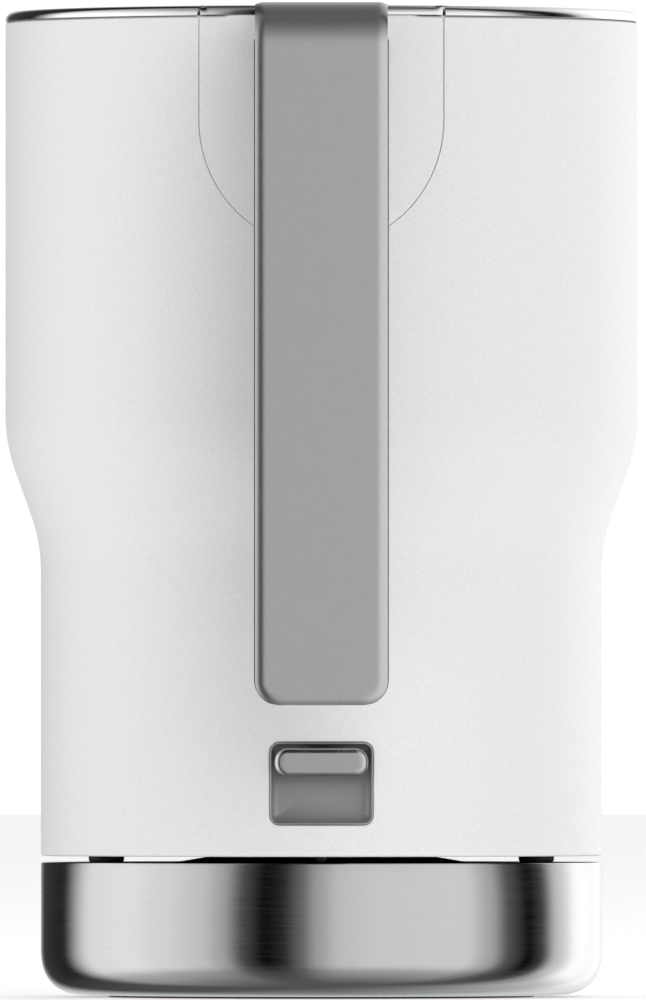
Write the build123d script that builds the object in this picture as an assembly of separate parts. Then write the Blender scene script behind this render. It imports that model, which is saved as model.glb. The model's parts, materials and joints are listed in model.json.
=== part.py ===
from build123d import *
import math
import os

# Cordless electric kettle of 1.5 litres on a round power base.
# Units are millimetres. +Z is up and the origin is on the worktop, on the jug's axis.
# The pouring beak points along +Y and the handle stands out along -Y.

# ---- driving dimensions -------------------------------------------------------------
HEIGHT = 245.0  # worktop to the top of the rim
JUG_TOP_R = 78.6  # jug, above the waist
JUG_LOW_R = 69.8  # jug, below the waist, and the power base
BASE_RIM_Z = 33.5  # top edge of the power base
JUG_GAP = 1.6  # daylight between the base's rim and the jug's edge
RING_H = 2.5  # bright rim on top of the shell
SHELL_WALL = 2.4
WAIST_ANGLE = 19.6  # slope of the shoulder from the vertical, in degrees
WAIST_MID_Z = 125.4
WAIST_FILLET = 40.0
EDGE_BEVEL = 0.6  # bevel along the shell's top edge

VESSEL_R = 61.2  # inside of the steel vessel
VESSEL_WALL = 0.8
VESSEL_UNDER_Z = 72.2  # underside of the vessel's floor
VESSEL_RIM_Z = 234.0
COLLAR_R = 58.2  # the opening that the lid closes

HANDLE_W = 33.0
HANDLE_REACH = 129.0  # from the axis to the handle's outer face
HANDLE_TOP_Z = 244.8
HANDLE_END_Z = 72.5
HANDLE_BEND = 12.0
STRAP_DEPTH = 9.0  # outer half of the handle
GRIP_DEPTH = 5.5  # inner half of the handle
STRAP_WALL = 2.0

PANEL_HALF = 30.2  # white panel behind the handle
PANEL_CENTRE_Z = 216.8
PANEL_DROP = 31.4  # height of the panel's rounded end
SEAM = 0.3
CAP_ARC_R = 39.0  # front edge of the bright cap over the handle's root
CAP_ARC_Y = -97.7

HINGE_Y = -63.0
HINGE_Z = 240.1
BARREL_R = 4.0
BARREL_HALF = 14.4
PIN_R = 1.5
PIN_PLAY = 0.06
LID_R = 57.6
LID_TOP_Z = 244.7

BUTTON_Y = -94.0
BUTTON_TIP_Z = 238.4

POCKET_HALF = 12.87  # switch pocket, half width
POCKET_LOW_Z = 42.9
POCKET_HIGH_Z = 63.5
POCKET_WALL = 0.8
SWITCH_Y = -52.0
SWITCH_Z = 58.5
PADDLE_HALF = 11.56
PADDLE_LOW_Z = 54.9
PADDLE_HIGH_Z = 62.0
PADDLE_FRONT_Y = -71.5
TRIP_Y = -34.0
TRIP_Z = 61.0

FOOT_CIRCLE_R = 61.5  # jug feet and the screws behind them
THIRDS = (90, 210, 330)
QUARTERS = (45, 135, 225, 315)
BASE_SCREW_R = 45.0
LID_SCREW_R = 40.0
CONTROL_SCREW_R = 22.0
ROOT_SCREW_Y = -72.4  # four screws in line that hold handle and hinge
ROOT_SCREW_X = (-11.5, -5.5, 5.5, 11.5)
BASE_CORNER = 10.0
BASE_UNDER_Z = 0.5
FOOT_RING_R = 51.2  # rubber ring that the base stands on
FOOT_RING_H = 1.15
DRUM_R = 26.0  # middle of the wall that the flex winds round
GLAND_Z = 8.2
FLEX_HALF = 4.2  # half width of the flex's way out
DECK_Z = 33.4
DOME_R = 37.2
DOME_TOP_R = 27.0
DOME_TOP_Z = 35.1
BOSS_R = 16.0
ELEMENT_R = 40.0
ELEMENT_ENDS = (-50, 230)
STEAM_X = 20.0
STEAM_R = 64.9

# ---- derived dimensions -------------------------------------------------------------
JUG_Z = BASE_RIM_Z + JUG_GAP
SHELL_TOP = HEIGHT - RING_H
VESSEL_OUT_R = VESSEL_R + VESSEL_WALL
GRIP_OFFSET = STRAP_DEPTH + GRIP_DEPTH
STEAM_Y = -math.sqrt(STEAM_R**2 - STEAM_X**2)
WAIST_HALF_RISE = (JUG_TOP_R - JUG_LOW_R) / math.tan(math.radians(WAIST_ANGLE)) / 2
DIFFUSER_H = 3.0
FLOOR_Z = JUG_Z + 1.5  # underside of the jug's floor cover
FAR = 300.0  # longer than anything here


# ---- shape helpers ------------------------------------------------------------------
def outline(points):
    """Flat closed face through (x, y) points. A third number rounds that corner."""
    corners = [Vector(p[0], p[1], 0) for p in points]
    count = len(points)
    starts, ends, edges = [], [], []
    for i, corner in enumerate(corners):
        radius = points[i][2] if len(points[i]) > 2 else 0
        if not radius:
            starts.append(corner)
            ends.append(corner)
            continue
        back = (corners[i - 1] - corner).normalized()
        ahead = (corners[(i + 1) % count] - corner).normalized()
        half = math.radians(back.get_angle(ahead)) / 2
        centre = corner + (back + ahead).normalized() * (radius / math.sin(half))
        middle = centre + (corner - centre).normalized() * radius
        starts.append(corner + back * (radius / math.tan(half)))
        ends.append(corner + ahead * (radius / math.tan(half)))
        edges.append(ThreePointArc(starts[i], middle, ends[i]))
    for i in range(count):
        following = starts[(i + 1) % count]
        if (following - ends[i]).length > 1e-6:
            edges.append(Line(ends[i], following))
    face = Face(Wire(edges))
    return face if face.normal_at().Z > 0 else -face


def turned(points, arc=360.0):
    """Solid of revolution about Z from an outline of (radius, height) points."""
    return revolve(Plane.XZ * outline(points), Axis.Z, arc)


def block(x, y, z):
    """Box between three pairs of limits."""
    centre = Pos(sum(x) / 2, sum(y) / 2, sum(z) / 2)
    return centre * Box(x[1] - x[0], y[1] - y[0], z[1] - z[0])


def rod(radius, low, high, x=0.0, y=0.0):
    """Upright cylinder."""
    return Pos(x, y, (low + high) / 2) * Cylinder(radius, high - low)


def tube(outer, inner, low, high, x=0.0, y=0.0):
    """Upright tube."""
    return rod(outer, low, high, x, y) - rod(inner, low - 1, high + 1, x, y)


def cross_rod(radius, left, right, y, z):
    """Cylinder along X."""
    return Pos((left + right) / 2, y, z) * Rot(0, 90, 0) * Cylinder(radius, right - left)


def through_y(face, near, far):
    """Solid from a face drawn in (x, z), between two places along Y."""
    return extrude(Plane.XZ.offset(-near) * face, near - far)


def through_x(face, half):
    """Solid from a face drawn in (y, z), reaching half to each side."""
    return extrude(Plane.YZ.offset(-half) * face, 2 * half)


def round_box(half, low, high, radius):
    """Rounded rectangle in (x, z)."""
    return outline([(-half, low, radius), (half, low, radius), (half, high, radius), (-half, high, radius)])


def screw(length, head_r=2.6, shank_r=1.4, head_h=1.6):
    """Pan-head screw with its head's seat at the origin and its shank along -Z."""
    head = Pos(0, 0, head_h / 2) * Cylinder(head_r, head_h)
    head = fillet(head.edges().sort_by(Axis.Z)[-1], head_h * 0.5)
    shank = Pos(0, 0, -length / 2) * Cylinder(shank_r, length)
    slot = Pos(0, 0, head_h) * Box(head_r * 1.2, 0.6, 1.2)
    return head + shank - slot - Rot(0, 0, 90) * slot


def coil(radius, wire, turns, length):
    """Compression spring along Z from the origin."""
    line = Helix(pitch=length / turns, height=length, radius=radius)
    section = Plane(origin=line @ 0, z_dir=line % 0) * Circle(wire / 2)
    return sweep(section, path=line, is_frenet=True)


def on_circle(radius, angles):
    """(x, y) places on a circle about the jug's axis."""
    return [(radius * math.cos(math.radians(a)), radius * math.sin(math.radians(a))) for a in angles]


def only(*shapes):
    """Separate solids kept together in one node."""
    return Compound(children=[solid for shape in shapes for solid in shape.solids()])


# ---- outlines shared by several pieces ----------------------------------------------
def waist_side(inset, low, high):
    """The jug's side from bottom to top, moved in from the outer face by inset."""
    lift = inset * math.tan(math.radians(WAIST_ANGLE / 2))
    return [
        (JUG_LOW_R - inset, low),
        (JUG_LOW_R - inset, WAIST_MID_Z - WAIST_HALF_RISE + lift, WAIST_FILLET + inset),
        (JUG_TOP_R - inset, WAIST_MID_Z + WAIST_HALF_RISE + lift, WAIST_FILLET - inset),
        (JUG_TOP_R - inset, high),
    ]


def panel_region(grow):
    """Straight-sided U that bounds the panel behind the handle, run through the rear wall."""
    half = PANEL_HALF + grow
    top = block((-half, half), (-FAR, -40), (PANEL_CENTRE_Z, FAR))
    end = Plane.XZ.offset(40) * Ellipse(half, PANEL_DROP + grow)
    return top + Pos(0, 0, PANEL_CENTRE_Z) * extrude(end, FAR)


BEAK_LOW_Z = 198.0
BEAK_TOP = (20.5, 74.5, 92.0, 5.0)  # half width, shoulder, nose, nose radius at the rim
BEAK_FOOT = (8.0, 73.0, 78.4, 5.0)  # the same where the beak runs out into the wall


def beak_plan(size, inset):
    """Plan of the beak: two sides that meet in a rounded nose, moved in by inset."""
    half, shoulder, nose, radius = size
    lean = math.atan2(half, nose - shoulder)
    corner = math.tan((math.pi / 2 - lean) / 2)
    return outline([
        (-half + inset, 50.0),
        (half - inset, 50.0),
        (half - inset, shoulder - inset * corner),
        (0, nose - inset / math.sin(lean), max(radius - inset, 0.6)),
        (-half + inset, shoulder - inset * corner),
    ])


def beak(inset, low=BEAK_LOW_Z, high=HEIGHT):
    """The beak as a solid that widens towards the rim."""
    foot = Pos(0, 0, BEAK_LOW_Z) * beak_plan(BEAK_FOOT, inset)
    top = Pos(0, 0, HEIGHT) * beak_plan(BEAK_TOP, inset)
    whole = loft([foot, top], ruled=True)
    return whole & block((-FAR, FAR), (0, FAR), (low, high))


def handle_side(depth_out, depth_in, bend_out, bend_in, root_y, end_z=HANDLE_END_Z):
    """Side view of one layer of the handle: along the top, round the bend and down."""
    back, top = -HANDLE_REACH, HANDLE_TOP_Z
    return outline([
        (root_y, top - depth_out),
        (back + depth_out, top - depth_out, bend_out),
        (back + depth_out, end_z),
        (back + depth_in, end_z),
        (back + depth_in, top - depth_in, bend_in),
        (root_y, top - depth_in),
    ])


# ---- power base ---------------------------------------------------------------------
def flex_way(start):
    """Round-topped way out for the flex at the front, from start outwards."""
    crown = Pos(0, (start + 80) / 2, FLEX_HALF) * Rot(90, 0, 0) * Cylinder(FLEX_HALF, 80 - start)
    return crown + block((-FLEX_HALF, FLEX_HALF), (start, 80), (-1.0, FLEX_HALF))


def base_shell():
    """Drawn steel cup with a large rounded lower edge, an inward flange and a flex notch."""
    wall = 1.0
    shell = turned([
        (JUG_LOW_R, BASE_RIM_Z, 0.4),
        (JUG_LOW_R, BASE_UNDER_Z, BASE_CORNER),
        (54.0, BASE_UNDER_Z),
        (54.0, BASE_UNDER_Z + wall),
        (JUG_LOW_R - wall, BASE_UNDER_Z + wall, BASE_CORNER - wall),
        (JUG_LOW_R - wall, BASE_RIM_Z),
    ])
    return shell - flex_way(50.0)


def base_deck():
    """Moulded top of the base, with the low dome round the connector."""
    edge = JUG_LOW_R - 1.1
    deck = turned([
        (edge, DECK_Z, 0.3),
        (DOME_R, DECK_Z),
        (DOME_TOP_R, DOME_TOP_Z, 4.0),
        (22.0, DOME_TOP_Z + 0.5),
        (BOSS_R + 0.1, DOME_TOP_Z + 0.5, 0.3),
        (BOSS_R + 0.1, DOME_TOP_Z - 1.9),
        (DOME_TOP_R - 0.6, DOME_TOP_Z - 2.2),
        (DOME_R, DECK_Z - 2.0),
        (edge - 2.0, DECK_Z - 2.0),
        (edge - 2.0, 20.0),
        (edge, 20.0),
    ])
    for x, y in on_circle(BASE_SCREW_R, QUARTERS):
        deck += tube(3.6, 1.5, 14.1, DECK_Z - 1.9, x, y)
    return deck


def base_underside():
    """Underside cover with a trough and a drum to wind the flex on, and a foot ring."""
    cover = turned([
        (0, 2.5),
        (DRUM_R + 1.0, 2.5, 0.8),
        (DRUM_R + 1.0, 12.0),
        (48.5, 12.0),
        (48.5, 1.2),
        (53.9, 1.2),
        (53.9, BASE_UNDER_Z + 1.05),
        (58.5, BASE_UNDER_Z + 1.05),
        (58.5, 3.2),
        (50.5, 3.2),
        (50.5, 14.0),
        (DRUM_R - 1.0, 14.0),
        (DRUM_R - 1.0, 4.5),
        (0, 4.5),
    ])
    for x, y in on_circle(BASE_SCREW_R, QUARTERS):
        cover -= rod(1.6, 10.0, 15.0, x, y)
    for angle in QUARTERS:
        hook = block((26.0, 34.0), (-4.0, 4.0), (2.5, 4.0))
        cover += Rot(0, 0, angle) * hook
    cover -= Pos(0, DRUM_R, GLAND_Z) * Rot(90, 0, 0) * Cylinder(4.3, 6.0)
    return cover - flex_way(46.0)


def base_foot():
    """Rubber foot ring under the cover, cut through at the flex's way out."""
    ring = turned([
        (FOOT_RING_R - 1.8, 0.0, 0.4),
        (FOOT_RING_R + 1.8, 0.0, 0.4),
        (FOOT_RING_R + 1.8, FOOT_RING_H),
        (FOOT_RING_R - 1.8, FOOT_RING_H),
    ])
    return ring - block((-6.0, 6.0), (40.0, 60.0), (-1.0, FOOT_RING_H + 1.0))


def base_screws():
    """Screws from below that hold the cover to the deck."""
    places = on_circle(BASE_SCREW_R, QUARTERS)
    fastener = Rot(180, 0, 0) * screw(9.0)
    return only(*[Pos(x, y, 12.0) * fastener for x, y in places])


def connector_boss():
    """Male half of the turn-any-way connector."""
    boss = rod(BOSS_R, 30.0, 45.0)
    boss = chamfer(boss.edges().sort_by(Axis.Z)[-1], 1.0)
    boss += rod(21.0, 29.0, 32.6)
    boss -= rod(4.2, 34.0, 46.0)
    boss -= tube(14.9, 12.9, 37.0, 46.0)
    return boss - connector_pin()


def connector_pin():
    """Earth pin in the middle of the connector."""
    pin = rod(1.9, 26.0, 43.5)
    return fillet(pin.edges().sort_by(Axis.Z)[-1], 1.2)


def connector_rings():
    """Live and neutral ring contacts of the base."""
    return only(tube(4.2, 3.9, 34.2, 43.0), tube(13.3, 12.9, 37.1, 44.0))


def terminal_block():
    """Block where the flex is clamped inside the drum."""
    body = block((-11, 11), (-6, 6), (4.6, 14.6))
    for x in (-7, 0, 7):
        body -= rod(2.2, 10.0, 16.0, x, 0)
        body -= Pos(x, 5, 8.5) * Rot(90, 0, 0) * Cylinder(1.6, 5.0)
    return body


def terminal_screws():
    """Clamp screws of the terminal block."""
    return only(*[Pos(x, 0, 12.2) * screw(1.8, 1.9, 1.2, 1.4) for x in (-7, 0, 7)])


def base_leads():
    """Three insulated leads from the terminal block up to the connector."""
    leads = []
    for x, top in ((-7, (-9.0, 0)), (0, (0, -7.5)), (7, (9.0, 0))):
        over = (top[0], top[1], 25.0)
        route = [(x, -7.5, 11.0), (x * 1.1, -13.0, 13.0), (x * 1.5, -13.0, 22.0), over, (*top, 28.9)]
        path = FilletPolyline(*route, radius=[2.0, 3.0, 1.6])
        leads.append(sweep(Plane(origin=path @ 0, z_dir=path % 0) * Circle(1.1), path=path))
    return only(*leads)


def cord_gland():
    """Grommet in the drum wall where the flex leaves."""
    barrel = Pos(0, DRUM_R, GLAND_Z) * Rot(90, 0, 0) * Cylinder(4.2, 6.0)
    lip = Pos(0, DRUM_R + 1.7, GLAND_Z) * Rot(90, 0, 0) * Cylinder(5.2, 1.2)
    lip &= block((-6, 6), (20, 40), (4.2, 11.9))
    bore = Pos(0, DRUM_R, GLAND_Z) * Rot(90, 0, 0) * Cylinder(3.3, 20.0)
    return barrel + lip - bore


# ---- jug body -----------------------------------------------------------------------
def wall_ring():
    """The jug's outer wall as a plain ring with a sharp top edge."""
    outer = waist_side(0.0, JUG_Z, SHELL_TOP)
    outer[0] = (JUG_LOW_R, JUG_Z, 0.7)
    return turned(outer + waist_side(SHELL_WALL, JUG_Z, SHELL_TOP)[::-1])


def wall_core():
    """Everything inside the jug's outer wall."""
    inner = waist_side(SHELL_WALL, JUG_Z - 5, HEIGHT + 5)
    return turned([(0, JUG_Z - 5)] + inner + [(0, HEIGHT + 5)])


def top_bevel():
    """Ring of material that the bevel takes off the top edge."""
    return turned([
        (JUG_TOP_R - EDGE_BEVEL, SHELL_TOP),
        (JUG_TOP_R, SHELL_TOP - EDGE_BEVEL),
        (JUG_TOP_R + 1, SHELL_TOP - EDGE_BEVEL),
        (JUG_TOP_R + 1, SHELL_TOP + 1),
        (JUG_TOP_R - EDGE_BEVEL, SHELL_TOP + 1),
    ])


def outer_shell():
    """White outer shell with its beak, the switch opening and the opening for the panel."""
    shell = wall_ring() - top_bevel()
    beak_skin = beak(0.0, high=SHELL_TOP) - wall_core()
    shell += beak_skin
    shell -= beak(SHELL_WALL, low=BEAK_LOW_Z + 5)
    shell -= panel_region(SEAM / 2)
    pocket = round_box(POCKET_HALF, POCKET_LOW_Z, POCKET_HIGH_Z, 2.5)
    return shell - through_y(pocket, -60.0, -80.0)


def handle_panel():
    """White panel let into the shell behind the handle, notched for the handle's arm."""
    panel = wall_ring() & panel_region(-SEAM / 2)
    step = 23.4
    bevel = top_bevel()
    panel -= bevel & block((-FAR, -step), (-FAR, 0), (0, FAR))
    panel -= bevel & block((step, FAR), (-FAR, 0), (0, FAR))
    half = HANDLE_W / 2 + 0.2
    return panel - block((-half, half), (-FAR, 0), (HANDLE_TOP_Z - GRIP_OFFSET - 0.2, FAR))


def inner_vessel():
    """Deep-drawn steel vessel with a small rim flange and a pouring window."""
    low, rim = VESSEL_UNDER_Z, VESSEL_RIM_Z
    wall = VESSEL_WALL
    vessel = turned([
        (0, low),
        (VESSEL_OUT_R, low, 6.0),
        (VESSEL_OUT_R, rim - wall, 0.6),
        (66.0, rim - wall),
        (66.0, rim),
        (VESSEL_R, rim, 1.2),
        (VESSEL_R, low + wall, 5.2),
        (0, low + wall),
    ])
    window = beak(SHELL_WALL + 1.4, low=207.0, high=227.0)
    vessel -= window
    radial = Rot(0, 0, math.degrees(math.atan2(STEAM_Y, STEAM_X))) * Pos(61.6, 0, 226.0)
    return vessel - radial * Rot(0, 90, 0) * Cylinder(2.6, 6.0)


def rim_gasket():
    """Silicone ring between the vessel's flange and the rim."""
    return tube(65.2, 62.6, VESSEL_RIM_Z, VESSEL_RIM_Z + 2.0)


def top_ring():
    """Bright rim: a flat ring with a rounded edge, a collar for the lid and a pointed lip."""
    top, low = HEIGHT, SHELL_TOP
    ring = turned([
        (JUG_TOP_R, low),
        (JUG_TOP_R, top, 2.2),
        (70.0, top),
        (COLLAR_R, top - 0.4, 0.8),
        (COLLAR_R, 231.0),
        (COLLAR_R + 1.4, 231.0),
        (COLLAR_R + 1.4, low),
        (62.8, low),
        (62.8, VESSEL_RIM_Z + 2.05),
        (65.0, VESSEL_RIM_Z + 2.05),
        (65.0, low),
        (74.8, low),
        (74.8, low - 2.5),
        (76.0, low - 2.5),
        (76.0, low),
    ])
    lip = extrude(Pos(0, 0, low) * beak_plan(BEAK_TOP, 0.0), RING_H)
    lip = fillet(lip.edges().filter_by(lambda e: e.center().Z > top - 0.01 and e.center().Y > 55), 2.0)
    ring += lip - rod(66.0, low - 1, top + 1)
    ring -= block((-20.5, 20.5), (60, 90), (low - 3, low))
    mouth = extrude(Pos(0, 0, low - 1) * beak_plan(BEAK_TOP, 3.6), 6.0) - rod(66.6, low - 2, top + 5)
    ring -= mouth
    ring -= rod(CAP_ARC_R + SEAM, low - 4, top + 1, 0, CAP_ARC_Y)
    return ring - block((-18.2, 18.2), (-70, -50), (VESSEL_RIM_Z + 2.0, top + 1))


def spout_liner():
    """Steel duct from the vessel's window up to the lip."""
    low = 204.0
    skin = beak(SHELL_WALL + 0.2, low=low, high=SHELL_TOP - 0.1)
    liner = skin - beak(SHELL_WALL + 1.0, low=low + 0.8)
    liner -= rod(VESSEL_OUT_R + 0.3, 190, 250)
    return liner - rod(66.3, VESSEL_RIM_Z - 1.2, 250)


def filter_sector(inner, outer, half, low, high):
    """Piece of a tube wall facing the beak."""
    return tube(outer, inner, low, high) & block((-half, half), (0, FAR), (low - 1, high + 1))


def filter_frame():
    """Frame of the pull-out scale filter, with a finger tab at the top."""
    frame = filter_sector(59.9, 61.0, 18.5, 204.5, 228.8)
    frame -= filter_sector(50.0, 70.0, 15.5, 207.0, 226.3)
    tab = block((-5.0, 5.0), (56.0, 60.2), (227.6, 228.8))
    bar = filter_sector(59.9, 60.4, 0.6, 207.0, 226.3)
    return frame + tab + bar


def filter_mesh():
    """Fine mesh of the scale filter."""
    return filter_sector(60.45, 60.75, 15.5, 207.0, 226.3)


def vessel_cradle():
    """Moulded ring that carries the vessel, with bosses for the floor screws."""
    base = VESSEL_UNDER_Z - 5.2
    cradle = turned([
        (53.0, base),
        (66.9, base),
        (66.9, base + 12.0),
        (62.6, base + 12.0),
        (62.6, base + 2.4),
        (56.0, base + 2.4),
        (56.0, VESSEL_UNDER_Z - 0.1),
        (53.0, VESSEL_UNDER_Z - 0.1),
    ])
    for x, y in on_circle(FOOT_CIRCLE_R, THIRDS):
        cradle += tube(3.8, 1.5, FLOOR_Z + 2.05, base, x, y)
    return cradle - rod(3.2, base - 1, base + 13, STEAM_X, STEAM_Y)


# ---- lid root and handle ------------------------------------------------------------
def handle_cap():
    """Bright cap over the handle's root, completing the rim on both sides of the arm."""
    disc = turned([
        (0, SHELL_TOP + 0.1),
        (JUG_TOP_R, SHELL_TOP + 0.1),
        (JUG_TOP_R, HEIGHT, 2.2),
        (0, HEIGHT),
    ])
    cap = disc & rod(CAP_ARC_R, SHELL_TOP - 1, HEIGHT + 1, 0, CAP_ARC_Y)
    half = HANDLE_W / 2 + 0.2
    cap -= block((-half, half), (-FAR, -70.8), (SHELL_TOP - 1, HEIGHT + 1))
    gap = BARREL_HALF + 0.4
    return cap - block((-gap, gap), (-69.4, 0), (SHELL_TOP - 1, HEIGHT + 1))


def handle_mount():
    """Moulded block between panel and vessel that the handle's bracket screws to."""
    mount = tube(75.9, 62.5, 196.0, VESSEL_RIM_Z - 1.2) & block((-15.9, 15.9), (-FAR, 0), (190, 240))
    step = tube(75.9, 66.5, VESSEL_RIM_Z - 1.3, VESSEL_RIM_Z + 0.1)
    mount += step & block((-15.9, 15.9), (-FAR, -69), (190, 240))
    half = HANDLE_W / 2 + 0.2
    notch = block((-half, half), (-FAR, -75.2), (HANDLE_TOP_Z - GRIP_OFFSET - 0.2, FAR))
    mount -= notch
    for x in ROOT_SCREW_X:
        mount -= rod(1.45, 222.0, 240.0, x, ROOT_SCREW_Y)
    return mount


def handle_outer():
    """Outer half of the handle: a satin strap of channel section with softened edges."""
    half = HANDLE_W / 2
    side = handle_side(0.0, STRAP_DEPTH, HANDLE_BEND, 4.0, -71.0)
    front = outline([(-half, HANDLE_END_Z, 6.0), (half, HANDLE_END_Z, 6.0), (half, FAR), (-half, FAR)])
    strap = through_x(side, half) & through_y(front, 0.0, -FAR)

    def on_skin(edge):
        depths = []
        for t in (0.0, 0.5, 1.0):
            p = edge @ t
            side_in, top_in = p.Y + HANDLE_REACH, HANDLE_TOP_Z - p.Z
            if side_in < HANDLE_BEND and top_in < HANDLE_BEND:
                corner = math.hypot(HANDLE_BEND - side_in, HANDLE_BEND - top_in)
                depths.append(abs(HANDLE_BEND - corner))
            else:
                depths.append(min(side_in, top_in))
        crossing = abs((edge % 0.5).X) > 0.99 and edge.center().Z > HANDLE_END_Z + 1
        return max(depths) < 0.01 and not crossing

    strap = fillet(strap.edges().filter_by(on_skin), 2.0)
    core = handle_side(STRAP_WALL, STRAP_DEPTH + 1, HANDLE_BEND - STRAP_WALL, 3.0, -60.0, HANDLE_END_Z + 8)
    strap -= through_x(core, half - STRAP_WALL)
    return strap - release_window()


def release_window():
    """Opening in the arm for the release button."""
    oval = Pos(0, BUTTON_Y, HANDLE_TOP_Z - 5) * SlotOverall(19.0, 13.0, 90)
    return extrude(oval, 10.0)


def handle_inner():
    """Inner half of the handle: the grip that the fingers close on."""
    half = HANDLE_W / 2 - 0.2
    side = handle_side(STRAP_DEPTH + 0.05, GRIP_OFFSET, 3.95, 9.0, -79.0)
    front = outline([(-half, HANDLE_END_Z, 6.0), (half, HANDLE_END_Z, 6.0), (half, FAR), (-half, FAR)])
    grip = through_x(side, half) & through_y(front, 0.0, -FAR)

    def on_grip(edge):
        places = [edge @ t for t in (0.0, 0.5, 1.0)]
        straight = all(abs(p.Y + HANDLE_REACH - GRIP_OFFSET) < 0.01 for p in places)
        under = all(abs(HANDLE_TOP_Z - GRIP_OFFSET - p.Z) < 0.01 for p in places)
        bend = edge.geom_type == GeomType.CIRCLE and abs((edge @ 0.5).X) > half - 0.1 and edge.radius > 8.5
        crossing = abs((edge % 0.5).X) > 0.99 and edge.center().Z > HANDLE_END_Z + 1
        return (straight or under or bend) and not crossing

    grip = fillet(grip.edges().filter_by(on_grip), 2.6)
    tongue = handle_side(STRAP_DEPTH - 2.5, STRAP_DEPTH + 0.5, 5.0, 3.6, -100.0, HANDLE_END_Z + 9)
    hollow = through_x(tongue, half - STRAP_WALL - 2.2)
    rail = through_x(tongue, half - STRAP_WALL - 0.6) & block((-FAR, FAR), (-FAR, -110), (0, 225))
    return grip + (rail - hollow)


def handle_bracket():
    """Steel strip that runs from the handle's root down inside the handle."""
    side = handle_side(STRAP_DEPTH - 2.1, STRAP_DEPTH - 0.1, 3.5, 1.5, -69.8, 120.0)
    strip = through_x(side, 8.0)
    strip -= block((-3.45, 3.45), (BUTTON_Y - 7, BUTTON_Y + 9), (230, 242))
    for x in ROOT_SCREW_X[1:3]:
        strip -= rod(1.5, 230, 242, x, ROOT_SCREW_Y)
    return strip


def hinge_bracket():
    """Moulded bracket with two ears that carry the lid's pin."""
    low, seat = VESSEL_RIM_Z + 0.15, HANDLE_TOP_Z - STRAP_DEPTH
    bracket = block((-17.6, 17.6), (-75.0, -69.8), (low, seat))
    for side in (-1, 1):
        limits = sorted((side * 14.9, side * 17.6))
        bracket += block(limits, (-70.8, -66.3), (low, SHELL_TOP - 0.1))
        bracket += block(limits, (-70.8, -60.2), (low + 2.0, SHELL_TOP - 0.1))
    bracket &= rod(75.9, 200, 260)
    bracket -= cross_rod(PIN_R + 0.02, -FAR, FAR, HINGE_Y, HINGE_Z)
    for x in ROOT_SCREW_X:
        bracket -= rod(1.5, 230, 245, x, ROOT_SCREW_Y)
    return bracket


def handle_screws():
    """Four screws through bracket and hinge into the mount."""
    seat = HANDLE_TOP_Z - STRAP_DEPTH
    outer = [Pos(x, ROOT_SCREW_Y, seat) * screw(12.0, 2.2) for x in ROOT_SCREW_X[::3]]
    inner = [Pos(x, ROOT_SCREW_Y, seat + 2.1) * screw(12.0, 2.2, 1.4, 1.2) for x in ROOT_SCREW_X[1:3]]
    return only(*outer, *inner)


def hinge_pin():
    """Steel pin of the lid."""
    return cross_rod(PIN_R, -17.6, 17.6, HINGE_Y, HINGE_Z)


def lid_spring():
    """Torsion spring on the hinge pin that lifts the lid."""
    spring = coil(2.5, 0.8, 5, 5.6)
    return Pos(4.7, HINGE_Y, HINGE_Z) * Rot(0, 90, 0) * spring


# ---- lid ----------------------------------------------------------------------------
def lid_cap():
    """Bright top of the lid with a shallow round dish."""
    cap = turned([
        (0, LID_TOP_Z - 0.5),
        (49.0, LID_TOP_Z - 0.5),
        (50.5, LID_TOP_Z),
        (LID_R, LID_TOP_Z, 0.9),
        (LID_R, 243.0),
        (57.0, 240.6),
        (56.4, 240.6),
        (56.4, LID_TOP_Z - 2.3),
        (0, LID_TOP_Z - 2.3),
    ])
    return cap - cross_rod(BARREL_R + 0.5, -15.2, 15.2, HINGE_Y, HINGE_Z)


def lid_frame():
    """Moulded core of the lid, with its hinge barrel and the catch notch."""
    frame = turned([
        (0, 240.2),
        (53.8, 240.2),
        (53.8, 235.1),
        (56.2, 235.1),
        (56.2, 240.3),
        (56.2, 242.3),
        (0, 242.3),
    ])
    for x, y in on_circle(LID_SCREW_R, THIRDS):
        frame += tube(3.4, 1.5, 231.45, 241.0, x, y)
    neck = block((-BARREL_HALF, BARREL_HALF), (HINGE_Y, -54.5), (236.5, 240.0))
    barrel = cross_rod(BARREL_R, -BARREL_HALF, BARREL_HALF, HINGE_Y, HINGE_Z)
    frame += neck + barrel
    frame -= block((4.0, 11.2), (HINGE_Y - 6, HINGE_Y + 3.8), (235.0, 246.0))
    frame -= block((-3.2, 3.2), (HINGE_Y - 6, HINGE_Y - 2.9), (238.4, 240.9))
    return frame - cross_rod(PIN_R + PIN_PLAY, -FAR, FAR, HINGE_Y, HINGE_Z)


def lid_liner():
    """Steel dish under the lid, pierced near the hinge for steam."""
    liner = turned([
        (0, 230.6),
        (56.2, 230.6, 2.0),
        (56.2, 235.0),
        (55.5, 235.0),
        (55.5, 231.4, 1.2),
        (0, 231.4),
    ])
    for x, y in on_circle(LID_SCREW_R, THIRDS):
        liner -= rod(1.6, 229, 233, x, y)
    for x, y in on_circle(47.0, (254, 262, 270, 278, 286)):
        liner -= rod(1.5, 229, 233, x, y)
    return liner


def lid_seal():
    """Silicone lip round the lid's dish."""
    return turned([
        (56.25, 231.6),
        (57.3, 231.9),
        (57.8, 233.4, 0.3),
        (57.2, 234.6),
        (56.25, 234.6),
    ])


def lid_screws():
    """Screws from below that hold the dish to the lid's core."""
    places = on_circle(LID_SCREW_R, THIRDS)
    fastener = Rot(180, 0, 0) * screw(7.5, 2.6, 1.4, 1.2)
    return only(*[Pos(x, y, 230.6) * fastener for x, y in places])


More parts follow.
